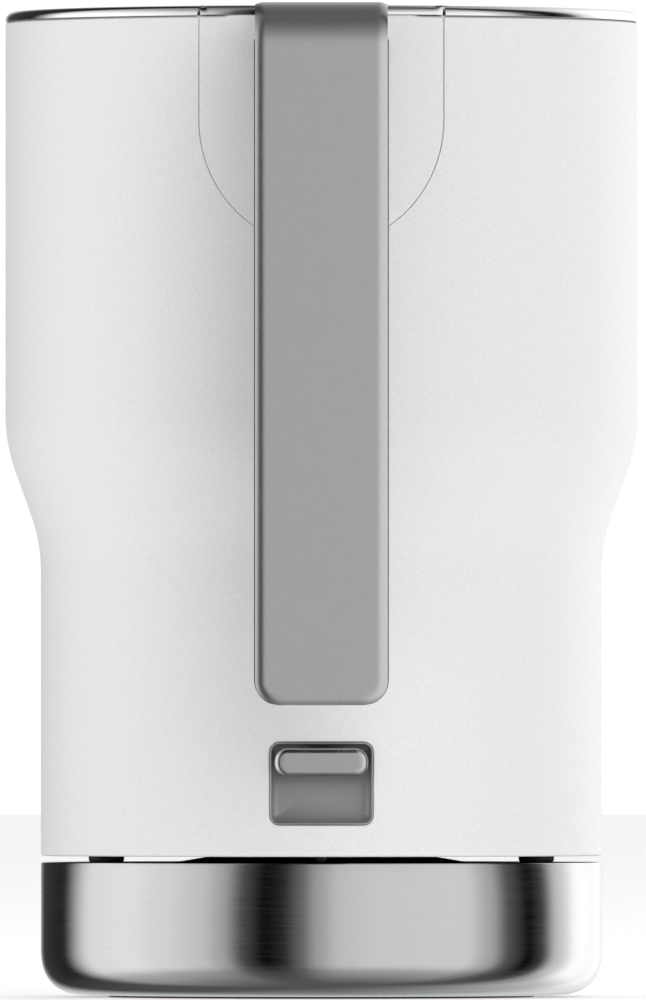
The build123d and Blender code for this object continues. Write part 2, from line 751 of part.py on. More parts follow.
# ---- lid release --------------------------------------------------------------------
def release_button():
    """Oval push button on the arm, with a stem that ends in a 45 degree wedge."""
    top = HANDLE_TOP_Z - 0.2
    face = extrude(Pos(0, BUTTON_Y, top - 2.6) * SlotOverall(18.4, 12.4, 90), 2.6)
    face = fillet(face.edges().group_by(Axis.Z)[-1], 0.7)
    dish = Pos(0, BUTTON_Y, top + 59.2) * Sphere(60.0)
    guide = extrude(Pos(0, BUTTON_Y, top - 2.9) * SlotOverall(17.0, 11.6, 90), 1.0)
    stem = outline([
        (BUTTON_Y + 2.4, top - 2.8),
        (BUTTON_Y + 2.4, BUTTON_TIP_Z),
        (BUTTON_Y + 1.6, BUTTON_TIP_Z),
        (BUTTON_Y - 1.8, BUTTON_TIP_Z + 3.4),
    ])
    return face - dish + guide + through_x(stem, 2.0)


def latch_slider():
    """Bolt with a ramp under the button's wedge, a fork round the stem and a long nose."""
    tip = HINGE_Y - BARREL_R - 0.3
    low, flat = BUTTON_TIP_Z - 2.2, BUTTON_TIP_Z + 0.7
    ramp = outline([
        (BUTTON_Y - 3.5, low),
        (BUTTON_Y + 0.76 + flat - low, low),
        (BUTTON_Y + 0.76, flat),
        (BUTTON_Y - 3.5, flat),
    ])
    fork = block((-3.3, 3.3), (BUTTON_Y - 3.5, BUTTON_Y + 8.0), (low, flat))
    fork -= block((-2.15, 2.15), (BUTTON_Y - 3.5, BUTTON_Y + 5.2), (low - 1, flat + 1))
    nose = block((-2.0, 2.0), (BUTTON_Y + 5.2, tip), (flat - 1.1, flat))
    nose += block((-2.0, 2.0), (BUTTON_Y + 12.2, tip), (flat - 1.1, flat + 1.3))
    return through_x(ramp, 3.3) + fork + nose


def button_spring():
    """Coil spring that lifts the release button."""
    low = HANDLE_TOP_Z - 6.65
    return only(*[Pos(x, BUTTON_Y, low) * coil(0.9, 0.35, 3, 3.2) for x in (-4.6, 4.6)])


# ---- floor, heater and control ------------------------------------------------------
def jug_floor():
    """Moulded cover that closes the jug from below, open in the middle for the socket."""
    floor = turned([
        (20.6, FLOOR_Z),
        (67.2, FLOOR_Z),
        (67.2, FLOOR_Z + 5.0),
        (65.4, FLOOR_Z + 5.0),
        (65.4, FLOOR_Z + 2.0),
        (20.6, FLOOR_Z + 2.0),
    ])
    for x, y in on_circle(FOOT_CIRCLE_R, THIRDS):
        floor -= rod(1.6, 30, 50, x, y)
        floor -= rod(3.0, 30, FLOOR_Z + 0.8, x, y)
    return floor - rod(1.45, 30, 50, 0, -50)


def jug_feet():
    """Three soft pads that cover the floor screws and carry the jug on the base."""
    pads = []
    for x, y in on_circle(FOOT_CIRCLE_R, THIRDS):
        pad = rod(4.4, DECK_Z + 0.05, FLOOR_Z, x, y)
        pads.append(fillet(pad.edges().sort_by(Axis.Z)[0], 1.0))
    return only(*pads)


def drain_spout():
    """Short round-ended nozzle that lets condensed steam out under the rear edge."""
    nozzle = rod(1.4, DECK_Z + 1.5, FLOOR_Z + 3.0, 0, -50) + Pos(0, -50, DECK_Z + 1.5) * Sphere(1.4)
    return nozzle - rod(0.5, DECK_Z - 1, FLOOR_Z + 4, 0, -50)


def floor_screws():
    """Screws up through the floor into the cradle's bosses."""
    fastener = Rot(180, 0, 0) * screw(12.0, 2.6, 1.4, 0.75)
    places = on_circle(FOOT_CIRCLE_R, THIRDS)
    return only(*[Pos(x, y, FLOOR_Z + 0.8) * fastener for x, y in places])


def diffuser_plate():
    """Aluminium plate that spreads the element's heat under the vessel."""
    return rod(52.0, VESSEL_UNDER_Z - DIFFUSER_H, VESSEL_UNDER_Z)


def heating_element():
    """Sheathed element bent into an open ring under the diffuser."""
    minor = 3.4
    centre_z = VESSEL_UNDER_Z - DIFFUSER_H - minor + 0.35
    section = Plane.XZ * (Pos(ELEMENT_R, centre_z) * Circle(minor))
    ring = Rot(0, 0, ELEMENT_ENDS[0]) * revolve(section, Axis.Z, 280)
    for x, y in on_circle(ELEMENT_R, ELEMENT_ENDS):
        ring += Pos(x, y, centre_z) * Sphere(minor)
    return ring - block((-FAR, FAR), (-FAR, FAR), (VESSEL_UNDER_Z - DIFFUSER_H, FAR))


def element_tails():
    """Two cold tails with push-on tabs below the ends of the element."""
    tails = []
    for x, y in on_circle(ELEMENT_R, ELEMENT_ENDS):
        pin = rod(1.3, 54.0, 65.0, x, y) - heating_element()
        tails.append(pin + block((x - 3.0, x + 3.0), (y - 0.4, y + 0.4), (49.0, 55.0)))
    return only(*tails)


def control_housing():
    """Thermostat block over the socket, with a shelf at the rear for the steam disc."""
    body = rod(27.0, 51.1, 62.5) - rod(24.0, 54.0, 63.0)
    body += rod(9.0, 53.0, 62.5)
    for x in (-13.0, 13.0):
        body += rod(8.6, 53.0, VESSEL_UNDER_Z - DIFFUSER_H - 1.2, x, 0)
    for x, y in on_circle(CONTROL_SCREW_R, THIRDS):
        body += rod(4.0, 53.0, VESSEL_UNDER_Z - DIFFUSER_H - 0.05, x, y)
        body -= rod(1.5, 50.0, FAR, x, y)
    shelf = block((13.0, 30.0), (-55.0, -38.0), (51.1, 54.0))
    shelf += block((13.0, 19.0), (-39.0, -17.0), (51.1, 54.0))
    for side in (-1, 1):
        limits = sorted((side * 5.6, side * 7.6))
        body += block(limits, (TRIP_Y - 3, -20.0), (51.1, TRIP_Z + 2.5))
    body += shelf
    body -= block((-4.8, 4.8), (-30.0, -19.0), (56.0, 64.0))
    return body - cross_rod(1.27, -FAR, FAR, TRIP_Y, TRIP_Z)


def control_screws():
    """Screws that pull the control up against the diffuser."""
    places = on_circle(CONTROL_SCREW_R, THIRDS)
    fastener = Rot(180, 0, 0) * screw(17.9, 2.4, 1.4, 1.2)
    return only(*[Pos(x, y, 51.1) * fastener for x, y in places])


def cordless_socket():
    """Female half of the connector, with a skirt round the base's boss."""
    socket = tube(19.6, 16.6, 37.2, 48.0) + rod(27.0, 48.0, 51.0)
    for x, y in on_circle(CONTROL_SCREW_R, THIRDS):
        socket -= rod(2.8, 47.0, 52.0, x, y)
    return socket - socket_contacts()


def socket_contacts():
    """Earth sleeve and ring blade of the socket."""
    return only(tube(3.5, 2.15, 35.6, 50.0), tube(14.5, 13.6, 38.5, 50.0))


def dry_boil_discs():
    """Two snap discs that open the contacts if the vessel boils dry."""
    top = VESSEL_UNDER_Z - DIFFUSER_H
    return only(*[rod(7.5, top - 1.1, top - 0.5, x, 0) for x in (-13.0, 13.0)])


def steam_disc():
    """Snap disc that trips the switch when steam reaches it."""
    return rod(7.2, 54.1, 54.6, 21.5, -46.0) - block((21.0, 22.0), (-49.0, -43.0), (54.0, 55.0))


def steam_tube():
    """Tube that brings steam from above the water down to the snap disc."""
    return tube(2.3, 1.5, 58.0, 222.0, STEAM_X, STEAM_Y)


def steam_elbow():
    """Moulded elbow that joins the tube to the hole in the vessel's wall."""
    turn = Rot(0, 0, math.degrees(math.atan2(STEAM_Y, STEAM_X)))
    elbow = rod(3.3, 218.0, 229.5, STEAM_X * 1.012, STEAM_Y * 1.012)
    elbow += turn * Pos(62.5, 0, 226.0) * Rot(0, 90, 0) * Cylinder(2.5, 5.0)
    elbow -= rod(2.35, 217.0, 222.0, STEAM_X, STEAM_Y)
    elbow -= rod(1.5, 221.0, 227.0, STEAM_X, STEAM_Y)
    elbow -= rod(VESSEL_OUT_R + 0.1, 217, 223)
    return elbow - turn * Pos(62.0, 0, 226.0) * Rot(0, 90, 0) * Cylinder(1.5, 6.0)


def trip_rocker():
    """See-saw that the switch lifts to close the contacts."""
    rocker = cross_rod(2.6, -5.4, 5.4, TRIP_Y, TRIP_Z)
    rocker += block((-4.5, 4.5), (TRIP_Y - 11.0, TRIP_Y), (TRIP_Z - 0.6, TRIP_Z + 1.6))
    rocker += block((-4.5, 4.5), (TRIP_Y, TRIP_Y + 6.0), (TRIP_Z - 1.0, TRIP_Z + 1.0))
    rocker += cross_rod(1.2, -9.0, 9.0, TRIP_Y, TRIP_Z)
    return rocker


def trip_spring():
    """Bowed leaf that snaps the rocker over its centre."""
    leaf = outline([
        (TRIP_Y + 6.3, TRIP_Z - 0.2),
        (TRIP_Y + 6.3, TRIP_Z + 0.2),
        (TRIP_Y + 10.0, TRIP_Z + 1.9, 4.0),
        (TRIP_Y + 13.6, TRIP_Z + 0.2),
        (TRIP_Y + 13.6, TRIP_Z - 0.2),
        (TRIP_Y + 10.0, TRIP_Z + 1.5, 3.6),
    ])
    return through_x(leaf, 2.0)


# ---- switch -------------------------------------------------------------------------
def switch_pocket():
    """Deep metal-finished pocket round the switch, with ears inside for its pin."""
    gap = 0.1
    outer = round_box(POCKET_HALF - gap, POCKET_LOW_Z + gap, POCKET_HIGH_Z - gap, 2.4)
    inner = round_box(
        POCKET_HALF - gap - POCKET_WALL,
        POCKET_LOW_Z + gap + POCKET_WALL,
        POCKET_HIGH_Z - gap - POCKET_WALL,
        1.6,
    )
    low, high = POCKET_LOW_Z - 5, POCKET_HIGH_Z + 5
    back_side = outline([(-58.8, high), (-62.4, low + 8, 25.0), (-66.5, low), (-FAR, low), (-FAR, high)])
    cavity_side = outline([(-60.2, high), (-63.8, low + 8, 25.0), (-68.4, low), (-FAR, low), (-FAR, high)])
    pocket = through_y(outer, -50.0, -80.0) & through_x(back_side, 30.0)
    pocket &= rod(JUG_LOW_R - 0.3, 30, 80)
    pocket -= through_y(inner, -50.0, -80.0) & through_x(cavity_side, 30.0)
    pocket -= block((-4.5, 4.5), (-FAR, 0), (53.5, 60.9))
    for side in (-1, 1):
        limits = sorted((side * 5.2, side * 7.2))
        pocket += block(limits, (SWITCH_Y - 9.0, SWITCH_Y + 2.6), (SWITCH_Z - 2.6, SWITCH_Z + 2.6))
    return pocket - cross_rod(1.22, -FAR, FAR, SWITCH_Y, SWITCH_Z)


def switch_pin():
    """Steel pin that the switch turns on."""
    return cross_rod(1.2, -7.2, 7.2, SWITCH_Y, SWITCH_Z)


def switch_paddle():
    """Satin bar that a finger presses down."""
    bar = round_box(PADDLE_HALF, PADDLE_LOW_Z, PADDLE_HIGH_Z, 3.3)
    bar = through_y(bar, -66.2, PADDLE_FRONT_Y)
    front = bar.faces().sort_by(Axis.Y)[0]
    bar = fillet(front.edges(), 1.3)
    return bar - block((-4.05, 4.05), (-67.6, -60), (SWITCH_Z - 1.55, SWITCH_Z + 1.55))


def switch_arm():
    """Moulded arm of the switch, from the bar to the nose that lifts the rocker."""
    arm = block((-4.0, 4.0), (-67.5, -43.8), (SWITCH_Z - 1.5, SWITCH_Z + 1.5))
    arm += cross_rod(2.6, -5.0, 5.0, SWITCH_Y, SWITCH_Z)
    return arm - cross_rod(1.2 + PIN_PLAY, -FAR, FAR, SWITCH_Y, SWITCH_Z)


MAKERS = [
    base_shell, base_deck, base_underside, base_foot, base_screws,
    connector_boss, connector_pin, connector_rings, terminal_block, terminal_screws, base_leads, cord_gland,
    outer_shell, handle_panel, inner_vessel, rim_gasket, top_ring, spout_liner, filter_frame, filter_mesh,
    vessel_cradle, handle_cap, handle_mount, handle_outer, handle_inner, handle_bracket, hinge_bracket,
    handle_screws, hinge_pin, lid_spring, lid_cap, lid_frame, lid_liner, lid_seal, lid_screws,
    release_button, latch_slider, button_spring, jug_floor, jug_feet, drain_spout, floor_screws,
    diffuser_plate, heating_element, element_tails, control_housing, control_screws, cordless_socket,
    socket_contacts, dry_boil_discs, steam_disc, steam_tube, steam_elbow, trip_rocker, trip_spring,
    switch_pocket, switch_pin, switch_paddle, switch_arm,
]

os.makedirs("parts", exist_ok=True)
for maker in MAKERS:
    export_step(maker(), f"parts/{maker.__name__}.step")
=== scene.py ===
import json
import math

import bmesh
import bpy
import numpy as np
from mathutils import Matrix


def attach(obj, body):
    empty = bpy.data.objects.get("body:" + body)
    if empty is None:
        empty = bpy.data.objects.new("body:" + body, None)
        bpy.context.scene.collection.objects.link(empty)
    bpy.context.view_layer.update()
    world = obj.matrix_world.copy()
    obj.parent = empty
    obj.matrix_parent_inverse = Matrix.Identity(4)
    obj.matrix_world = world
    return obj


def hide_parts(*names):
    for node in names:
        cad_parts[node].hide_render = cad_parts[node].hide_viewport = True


# Cordless electric kettle on its power base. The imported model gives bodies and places;
# the outer pieces are surfaces in millimetres, turned into metres as they are made.

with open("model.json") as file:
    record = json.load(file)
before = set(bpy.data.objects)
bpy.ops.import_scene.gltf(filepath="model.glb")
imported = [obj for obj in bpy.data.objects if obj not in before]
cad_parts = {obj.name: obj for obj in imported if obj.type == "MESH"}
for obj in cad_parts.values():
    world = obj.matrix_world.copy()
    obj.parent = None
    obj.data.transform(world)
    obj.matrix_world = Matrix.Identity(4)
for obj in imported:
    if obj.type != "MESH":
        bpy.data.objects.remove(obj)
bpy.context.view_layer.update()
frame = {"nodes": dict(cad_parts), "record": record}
nodes = frame["nodes"]

MM = 0.001

# Jug and base, in millimetres.
JUG_TOP_R = 78.6
JUG_LOW_R = 69.8
JUG_EDGE_Z = 35.1
SHELL_TOP = 242.5
RIM_TOP = 245.0
EDGE_BEVEL = 0.6
SHELL_WALL = 2.0
SHELL_FOOT_ROUND = 0.7
WAIST_LOW_Z = 112.9
WAIST_HIGH_Z = 137.6
WAIST_FILLET = 40.0
BASE_RIM_Z = 33.5
BASE_UNDER_Z = 0.5
BASE_CURVE = 12.0
BASE_POWER = 2.55
BASE_FLANGE_R = 54.0
BASE_WALL = 1.0
FLEX_HALF = 4.2

# Panel and switch pocket.
PANEL_HALF = 30.2
PANEL_CENTRE_Z = 216.8
PANEL_DROP = 31.4
SEAM = 0.03
SEAM_ROUND = 0.2
POCKET_HALF = 12.87
POCKET_LOW_Z = 42.9
POCKET_HIGH_Z = 63.5
POCKET_CORNER = 2.5
POCKET_ROUND = 0.4

# Beak: half width, shoulder and nose at its foot and at the rim.
BEAK_FOOT = (8.0, 73.0, 78.4)
BEAK_TOP = (20.5, 74.5, 91.65)
BEAK_FOOT_Z = 198.0
BEAK_NOSE_SOFT = 0.035
BEAK_CREASE = 0.8
BEAK_REACH = 0.6
MOUTH_INSET = 3.6
MOUTH_BACK_R = 66.6

# Rim, cap over the handle's root, and lid.
COLLAR_R = 58.2
COLLAR_LOW_Z = 231.0
COLLAR_WALL = 1.4
RIM_ROUND = 2.2
CAP_ARC_R = 39.0
CAP_ARC_Y = -97.7
CAP_HALF = 29.9
CAP_GAP_HALF = 14.8
CAP_GAP_Y = -69.4
HINGE_GAP = 18.2
HINGE_R = 62.0
LID_R = 57.6
LID_TOP_Z = 244.7
LID_LOW_Z = 240.6

# Handle.
HANDLE_HALF = 16.5
HANDLE_BACK_Y = -129.0
HANDLE_TOP_Z = 244.8
HANDLE_END_Z = 72.5
STRAP_ROOT_Y = -71.0
STRAP_DEPTH = 9.0
STRAP_INSET = 0.25
GRIP_ROOT_Y = -79.0
GRIP_OFFSET = 14.5
GRIP_GAP = 0.1

# Switch bar.
BAR_HALF = 11.56
BAR_LOW_Z = 54.9
BAR_HIGH_Z = 62.0
BAR_FRONT_Y = -71.5
BAR_BACK_Y = -66.2
BAR_CORNER = 3.2
BAR_ROUND = 1.4

# Columns of the grids that follow an opening.
SHELL_INNER_COLUMNS = 14
BASE_WIDE_COLUMNS = 240
BASE_NOTCH_COLUMNS = 17


# ---- arrays -------------------------------------------------------------------------
def spread(count, crowds=()):
    """Places from 0 to 1, crowded where each (place, width, strength) bell adds density:
    the running sum of 1 + sum of strength * exp(-((t - place) / width)^2), inverted."""
    t = np.linspace(0, 1, 4001)
    density = np.ones_like(t)
    for place, width, strength in crowds:
        density += strength * np.exp(-(((t - place) / width) ** 2))
    total = np.concatenate([[0], np.cumsum((density[1:] + density[:-1]) / 2)])
    return np.interp(np.linspace(0, total[-1], count), total, t)


def rounded_line(corners, step=6):
    """Open or closed run of (a, b, radius) corners as points: each corner is a circular arc
    tangent to both sides, with step points, and a corner of radius 0 stays one point."""
    places = np.array([c[:2] for c in corners], float)
    out = []
    for i, (here, corner) in enumerate(zip(places, corners)):
        radius = corner[2] if len(corner) > 2 else 0
        if not radius:
            out.append(here[None])
            continue
        back = places[i - 1] - here
        ahead = places[(i + 1) % len(places)] - here
        back, ahead = back / np.linalg.norm(back), ahead / np.linalg.norm(ahead)
        half = math.acos(np.clip(back @ ahead, -1, 1)) / 2
        bisector = (back + ahead) / np.linalg.norm(back + ahead)
        centre = here + bisector * radius / math.sin(half)
        start, end = here + back * radius / math.tan(half), here + ahead * radius / math.tan(half)
        turn = np.linspace(0, 1, step)[:, None]
        sweep = math.pi - 2 * half
        first, last = start - centre, end - centre
        arc = (np.sin((1 - turn) * sweep) * first + np.sin(turn * sweep) * last) / math.sin(sweep)
        out.append(centre + arc)
    return np.concatenate(out)


def fillet_drop(distance, radius, width=None):
    """How far an edge's arc has fallen at a distance in from the outline: r - sqrt(r^2 - (w - d)^2).
    The arc's width w is the radius on a full quarter round, and less where the arc stops early."""
    width = width or radius
    inside = np.clip(width - distance, 0, width)
    return radius - np.sqrt(radius**2 - inside**2)


def smooth_step(value, low, high):
    """0 below low, 1 above high, 3t^2 - 2t^3 between."""
    t = np.clip((value - low) / (high - low), 0, 1)
    return t * t * (3 - 2 * t)


def soft_max(a, b, blend):
    """The larger of two surfaces with a soft crease: mean plus half of sqrt(difference^2 + blend^2)."""
    return (a + b + np.sqrt((a - b) ** 2 + blend**2) - blend) / 2


# ---- meshes -------------------------------------------------------------------------
def quads(rows, cols, around=False, keep=None):
    """Corner numbers of the faces between neighbouring grid points, optionally closed around."""
    i, j = np.meshgrid(np.arange(rows - 1), np.arange(cols if around else cols - 1), indexing="ij")
    if keep is not None:
        i, j = i[keep], j[keep]
    i, j = i.ravel(), j.ravel()
    k = (j + 1) % cols
    return np.stack([i * cols + j, i * cols + k, (i + 1) * cols + k, (i + 1) * cols + j], 1)


def link(name, data):
    """A new object of that data in the scene."""
    made = bpy.data.objects.new(name, data)
    bpy.context.scene.collection.objects.link(made)
    return made


def piece(name, grids, body, finish, stands_for=(), wall=0.0, edge=30.0, outward=True):
    """One mesh from (points, faces) grids in millimetres, welded, faced outwards and finished."""
    verts, faces, start = [], [], 0
    for points, corners in grids:
        flat = points.reshape(-1, 3)
        verts.append(flat)
        faces.append(corners + start)
        start += len(flat)
    mesh = bpy.data.meshes.new(name)
    mesh.from_pydata((np.concatenate(verts) * MM).tolist(), [], np.concatenate(faces).tolist())
    weld = bmesh.new()
    weld.from_mesh(mesh)
    bmesh.ops.remove_doubles(weld, verts=weld.verts, dist=2e-6)
    bmesh.ops.dissolve_degenerate(weld, edges=weld.edges, dist=1e-6)
    if outward:
        bmesh.ops.recalc_face_normals(weld, faces=weld.faces)
    weld.to_mesh(mesh)
    weld.free()
    mesh.polygons.foreach_set("use_smooth", np.ones(len(mesh.polygons), bool))
    mesh.set_sharp_from_angle(angle=math.radians(edge))
    made = link(name, mesh)
    mesh.materials.append(finish)
    if wall:
        skin = made.modifiers.new("wall", "SOLIDIFY")
        skin.thickness = wall * MM
        skin.offset = -1.0
    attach(made, body)
    if stands_for:
        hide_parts(*stands_for)
    return made


def closed_ends(points):
    """A tube's grid, rows round the section, with each open end drawn to the mean of its last section."""
    first = points[:, :1].mean(0, keepdims=True) + 0 * points[:, :1]
    last = points[:, -1:].mean(0, keepdims=True) + 0 * points[:, :1]
    return np.concatenate([first, points, last], 1)


def turned(profile, steps=192):
    """A closed (radius, height) profile carried once round Z: x = r sin t, y = -r cos t."""
    t = np.linspace(0, 2 * math.pi, steps, endpoint=False)
    loop = np.vstack([profile, profile[:1]])
    r, z = loop[:, 0, None], loop[:, 1, None]
    points = np.stack([r * np.sin(t), -r * np.cos(t), z + 0 * t], -1)
    return points, quads(len(loop), steps, around=True)


def around_axis(radius, angle, z):
    """Points at an angle from the rear, counted towards the right."""
    return np.stack([radius * np.sin(angle), -radius * np.cos(angle), z + 0 * radius], -1)


# ---- jug shell ----------------------------------------------------------------------
WAIST = rounded_line(
    [
        (JUG_LOW_R, JUG_EDGE_Z),
        (JUG_LOW_R, WAIST_LOW_Z, WAIST_FILLET),
        (JUG_TOP_R, WAIST_HIGH_Z, WAIST_FILLET),
        (JUG_TOP_R, RIM_TOP),
    ],
    step=24,
)


def jug_radius(z):
    """Outer radius at a height: two cylinders joined by a straight slope with round ends."""
    return np.interp(z, WAIST[:, 1], WAIST[:, 0])


def beak_radius(lean, z):
    """Distance from the axis to the beak's side at an angle from the front. The side is a line
    from shoulder to nose, r = nose / (cos + slope |sin|), with |sin| softened at the nose."""
    share = (z - BEAK_FOOT_Z) / (RIM_TOP - BEAK_FOOT_Z)
    half, shoulder, nose = (a + (b - a) * share for a, b in zip(BEAK_FOOT, BEAK_TOP))
    slope = (nose - shoulder) / half
    soft = np.sqrt(np.sin(lean) ** 2 + BEAK_NOSE_SOFT**2) - BEAK_NOSE_SOFT
    return (nose - 0.9 * share) / (np.cos(lean) + slope * soft)


def panel_half(z, grow=0.0):
    """Half width of the U at a height: straight, then a half ellipse."""
    fall = np.clip((PANEL_CENTRE_Z - z) / (PANEL_DROP + grow), 0, 1)
    return (PANEL_HALF + grow) * np.sqrt(1 - fall**2)


def panel_distance(x, z, grow=0.0):
    """Distance outside the U, about: the straight sides' own, and the ellipse's by its level."""
    fall = np.clip(PANEL_CENTRE_Z - z, 0, None)
    level = np.sqrt((x / (PANEL_HALF + grow)) ** 2 + (fall / (PANEL_DROP + grow)) ** 2)
    return (level - 1) * (PANEL_HALF + grow)


def pocket_half(z):
    """Half width of the pocket's opening at a height, with circular corners."""
    rise = np.minimum(z - POCKET_LOW_Z, POCKET_HIGH_Z - z)
    short = np.clip(POCKET_CORNER - rise, 0, POCKET_CORNER)
    return POCKET_HALF - POCKET_CORNER + np.sqrt(POCKET_CORNER**2 - short**2)


def pocket_distance(x, z):
    """Distance outside the pocket's rounded rectangle."""
    a = np.abs(x) - (POCKET_HALF - POCKET_CORNER)
    b = np.abs(z - (POCKET_LOW_Z + POCKET_HIGH_Z) / 2) - ((POCKET_HIGH_Z - POCKET_LOW_Z) / 2 - POCKET_CORNER)
    beyond = np.hypot(np.clip(a, 0, None), np.clip(b, 0, None))
    return beyond + np.clip(np.maximum(a, b), None, 0) - POCKET_CORNER


def shell_rows():
    """Heights of the shell's rows with a mark for each: 0 plain, 1 beside the pocket, 2 beside the U."""
    beside = np.array([0.0, 0.1, 0.25, 0.4, 0.6, 0.9])
    corner = POCKET_CORNER * (1 - np.cos(np.linspace(0, math.pi / 2, 8)))
    inside = np.concatenate([
        POCKET_LOW_Z + corner,
        np.linspace(POCKET_LOW_Z + POCKET_CORNER, POCKET_HIGH_Z - POCKET_CORNER, 8)[1:-1],
        (POCKET_HIGH_Z - corner)[::-1],
    ])
    turn = np.linspace(math.pi / 2, 0, 34)
    end = PANEL_CENTRE_Z - (PANEL_DROP + SEAM / 2) * np.sin(turn)
    runs = [
        (JUG_EDGE_Z + SHELL_FOOT_ROUND * (1 - np.cos(np.linspace(0, math.pi / 2, 5))), 0),
        (np.linspace(JUG_EDGE_Z + SHELL_FOOT_ROUND, POCKET_LOW_Z, 9)[1:-2], 0),
        (POCKET_LOW_Z - beside[::-1], 0),
        (inside, 1),
        (POCKET_HIGH_Z + beside, 0),
        (np.linspace(POCKET_HIGH_Z, 104.0, 16)[1:], 0),
        (np.linspace(104.0, 147.0, 34)[1:], 0),
        (np.linspace(147.0, end[0], 18)[1:-1], 0),
        (end[0] - beside[::-1], 0),
        (end, 2),
        (np.linspace(PANEL_CENTRE_Z, SHELL_TOP - EDGE_BEVEL, 14)[1:], 2),
        (np.array([SHELL_TOP]), 2),
    ]
    return np.concatenate([r for r, _ in runs]), np.concatenate([np.full(len(r), m) for r, m in runs])


def shell_surface():
    """Outer wall as radius over (angle, height). Each row starts at the edge of the opening beside it, so
    that grid lines follow the U and the pocket. The inner columns fill the plain rows between the halves."""
    z, mark = shell_rows()
    wide = jug_radius(z)
    free = POCKET_HALF - POCKET_CORNER
    closing = 1 - smooth_step(z, 150.0, 185.2)
    start = np.where(mark == 2, panel_half(z, SEAM / 2), np.where(mark == 1, pocket_half(z), free * closing))
    inner = np.where(mark > 0, start, 0.0)
    first = np.linspace(0, 1, SHELL_INNER_COLUMNS)[None]
    a = np.arcsin(inner / wide)[:, None]
    b = np.arcsin(start / wide)[:, None]
    share = spread(104, [(0, 0.012, 14), (1, 0.09, 3.0)])[None]
    angle = np.concatenate([a + (b - a) * first, b + (math.pi - b) * share[:, 1:]], 1)
    height = z[:, None] + 0 * angle
    x = wide[:, None] * np.sin(angle)
    rear = angle < math.pi / 2
    lip = np.where(rear, fillet_drop(np.clip(panel_distance(x, height, SEAM / 2), 0, None), SEAM_ROUND), 0)
    near = rear & (height < 70)
    lip = np.where(near, fillet_drop(np.clip(pocket_distance(x, height), 0, None), POCKET_ROUND), lip)
    radius = wide[:, None] - lip
    beak = beak_radius(math.pi - angle, height)
    on_beak = (height > BEAK_FOOT_Z - 6) & (angle > math.pi - BEAK_REACH)
    radius = np.where(on_beak, soft_max(radius, beak, BEAK_CREASE), radius)
    radius -= np.clip(height - (SHELL_TOP - EDGE_BEVEL), 0, None)
    radius -= fillet_drop(height - JUG_EDGE_Z, SHELL_FOOT_ROUND)
    keep = np.ones((len(z) - 1, angle.shape[1] - 1), bool)
    both = (mark[1:] > 0) | (mark[:-1] > 0)
    keep[both, :SHELL_INNER_COLUMNS - 1] = False
    grids = []
    for side in (1, -1):
        points = around_axis(radius, side * angle, height)
        corners = quads(*angle.shape, keep=keep)
        grids.append((points, corners if side > 0 else corners[:, ::-1]))
    return grids


def panel_surface():
    """The U's own panel: rows across, from the rim down, with its edge rounded by its distance inside."""
    turn = np.linspace(0, math.pi / 2, 36)[1:]
    low = PANEL_CENTRE_Z - (PANEL_DROP - SEAM / 2) * np.sin(turn)
    z = np.concatenate([
        [SHELL_TOP],
        np.linspace(SHELL_TOP - EDGE_BEVEL, PANEL_CENTRE_Z, 14),
        low,
    ])
    even = np.linspace(-1, 1, 61)
    u = np.sign(even) * (1 - (1 - np.abs(even)) ** 1.6)
    half = panel_half(z, -SEAM / 2)[:, None]
    x, height = half * u[None], z[:, None] + 0 * u[None]
    wide = jug_radius(height)
    lip = fillet_drop(np.clip(-panel_distance(x, height, -SEAM / 2), 0, None), SEAM_ROUND)
    bevel = np.clip(height - (SHELL_TOP - EDGE_BEVEL), 0, None) * smooth_step(np.abs(x), 22.6, 24.2)
    angle = np.arcsin(x / wide)
    return [(around_axis(wide - lip - bevel, angle, height), quads(*angle.shape)[:, ::-1])]


# ---- rim, cap and lid ---------------------------------------------------------------
def mouth_radius(lean):
    """Inner edge of the mouth at an angle from the front: the beak's sides moved in, then its flanks."""
    half, shoulder, nose = BEAK_TOP
    tilt = math.atan2(half, nose - shoulder)
    inner_nose = nose - MOUTH_INSET / math.sin(tilt)
    slope = (nose - shoulder) / half
    soft = np.sqrt(np.sin(lean) ** 2 + BEAK_NOSE_SOFT**2) - BEAK_NOSE_SOFT
    pointed = inner_nose / (np.cos(lean) + slope * soft)
    flank = (half - MOUTH_INSET) / np.clip(np.sin(np.abs(lean)), 1e-3, None)
    return np.clip(np.minimum(pointed, flank), MOUTH_BACK_R, None)


def rim_outer_radius(angle):
    """Plan of the rim's outer edge: the jug's circle, the beak in front, and the cap's arc at the rear."""
    lean = math.pi - np.abs(angle)
    radius = np.full(angle.shape, JUG_TOP_R)
    front = lean < BEAK_REACH
    radius = np.where(front, soft_max(radius, beak_radius(lean, RIM_TOP), BEAK_CREASE), radius)
    reach = (CAP_ARC_R + 0.3) ** 2 - (CAP_ARC_Y * np.sin(angle)) ** 2
    near = -CAP_ARC_Y * np.cos(angle) - np.sqrt(np.clip(reach, 0, None))
    return np.where((reach > 0) & (np.abs(angle) < 0.5), np.minimum(radius, near), radius)


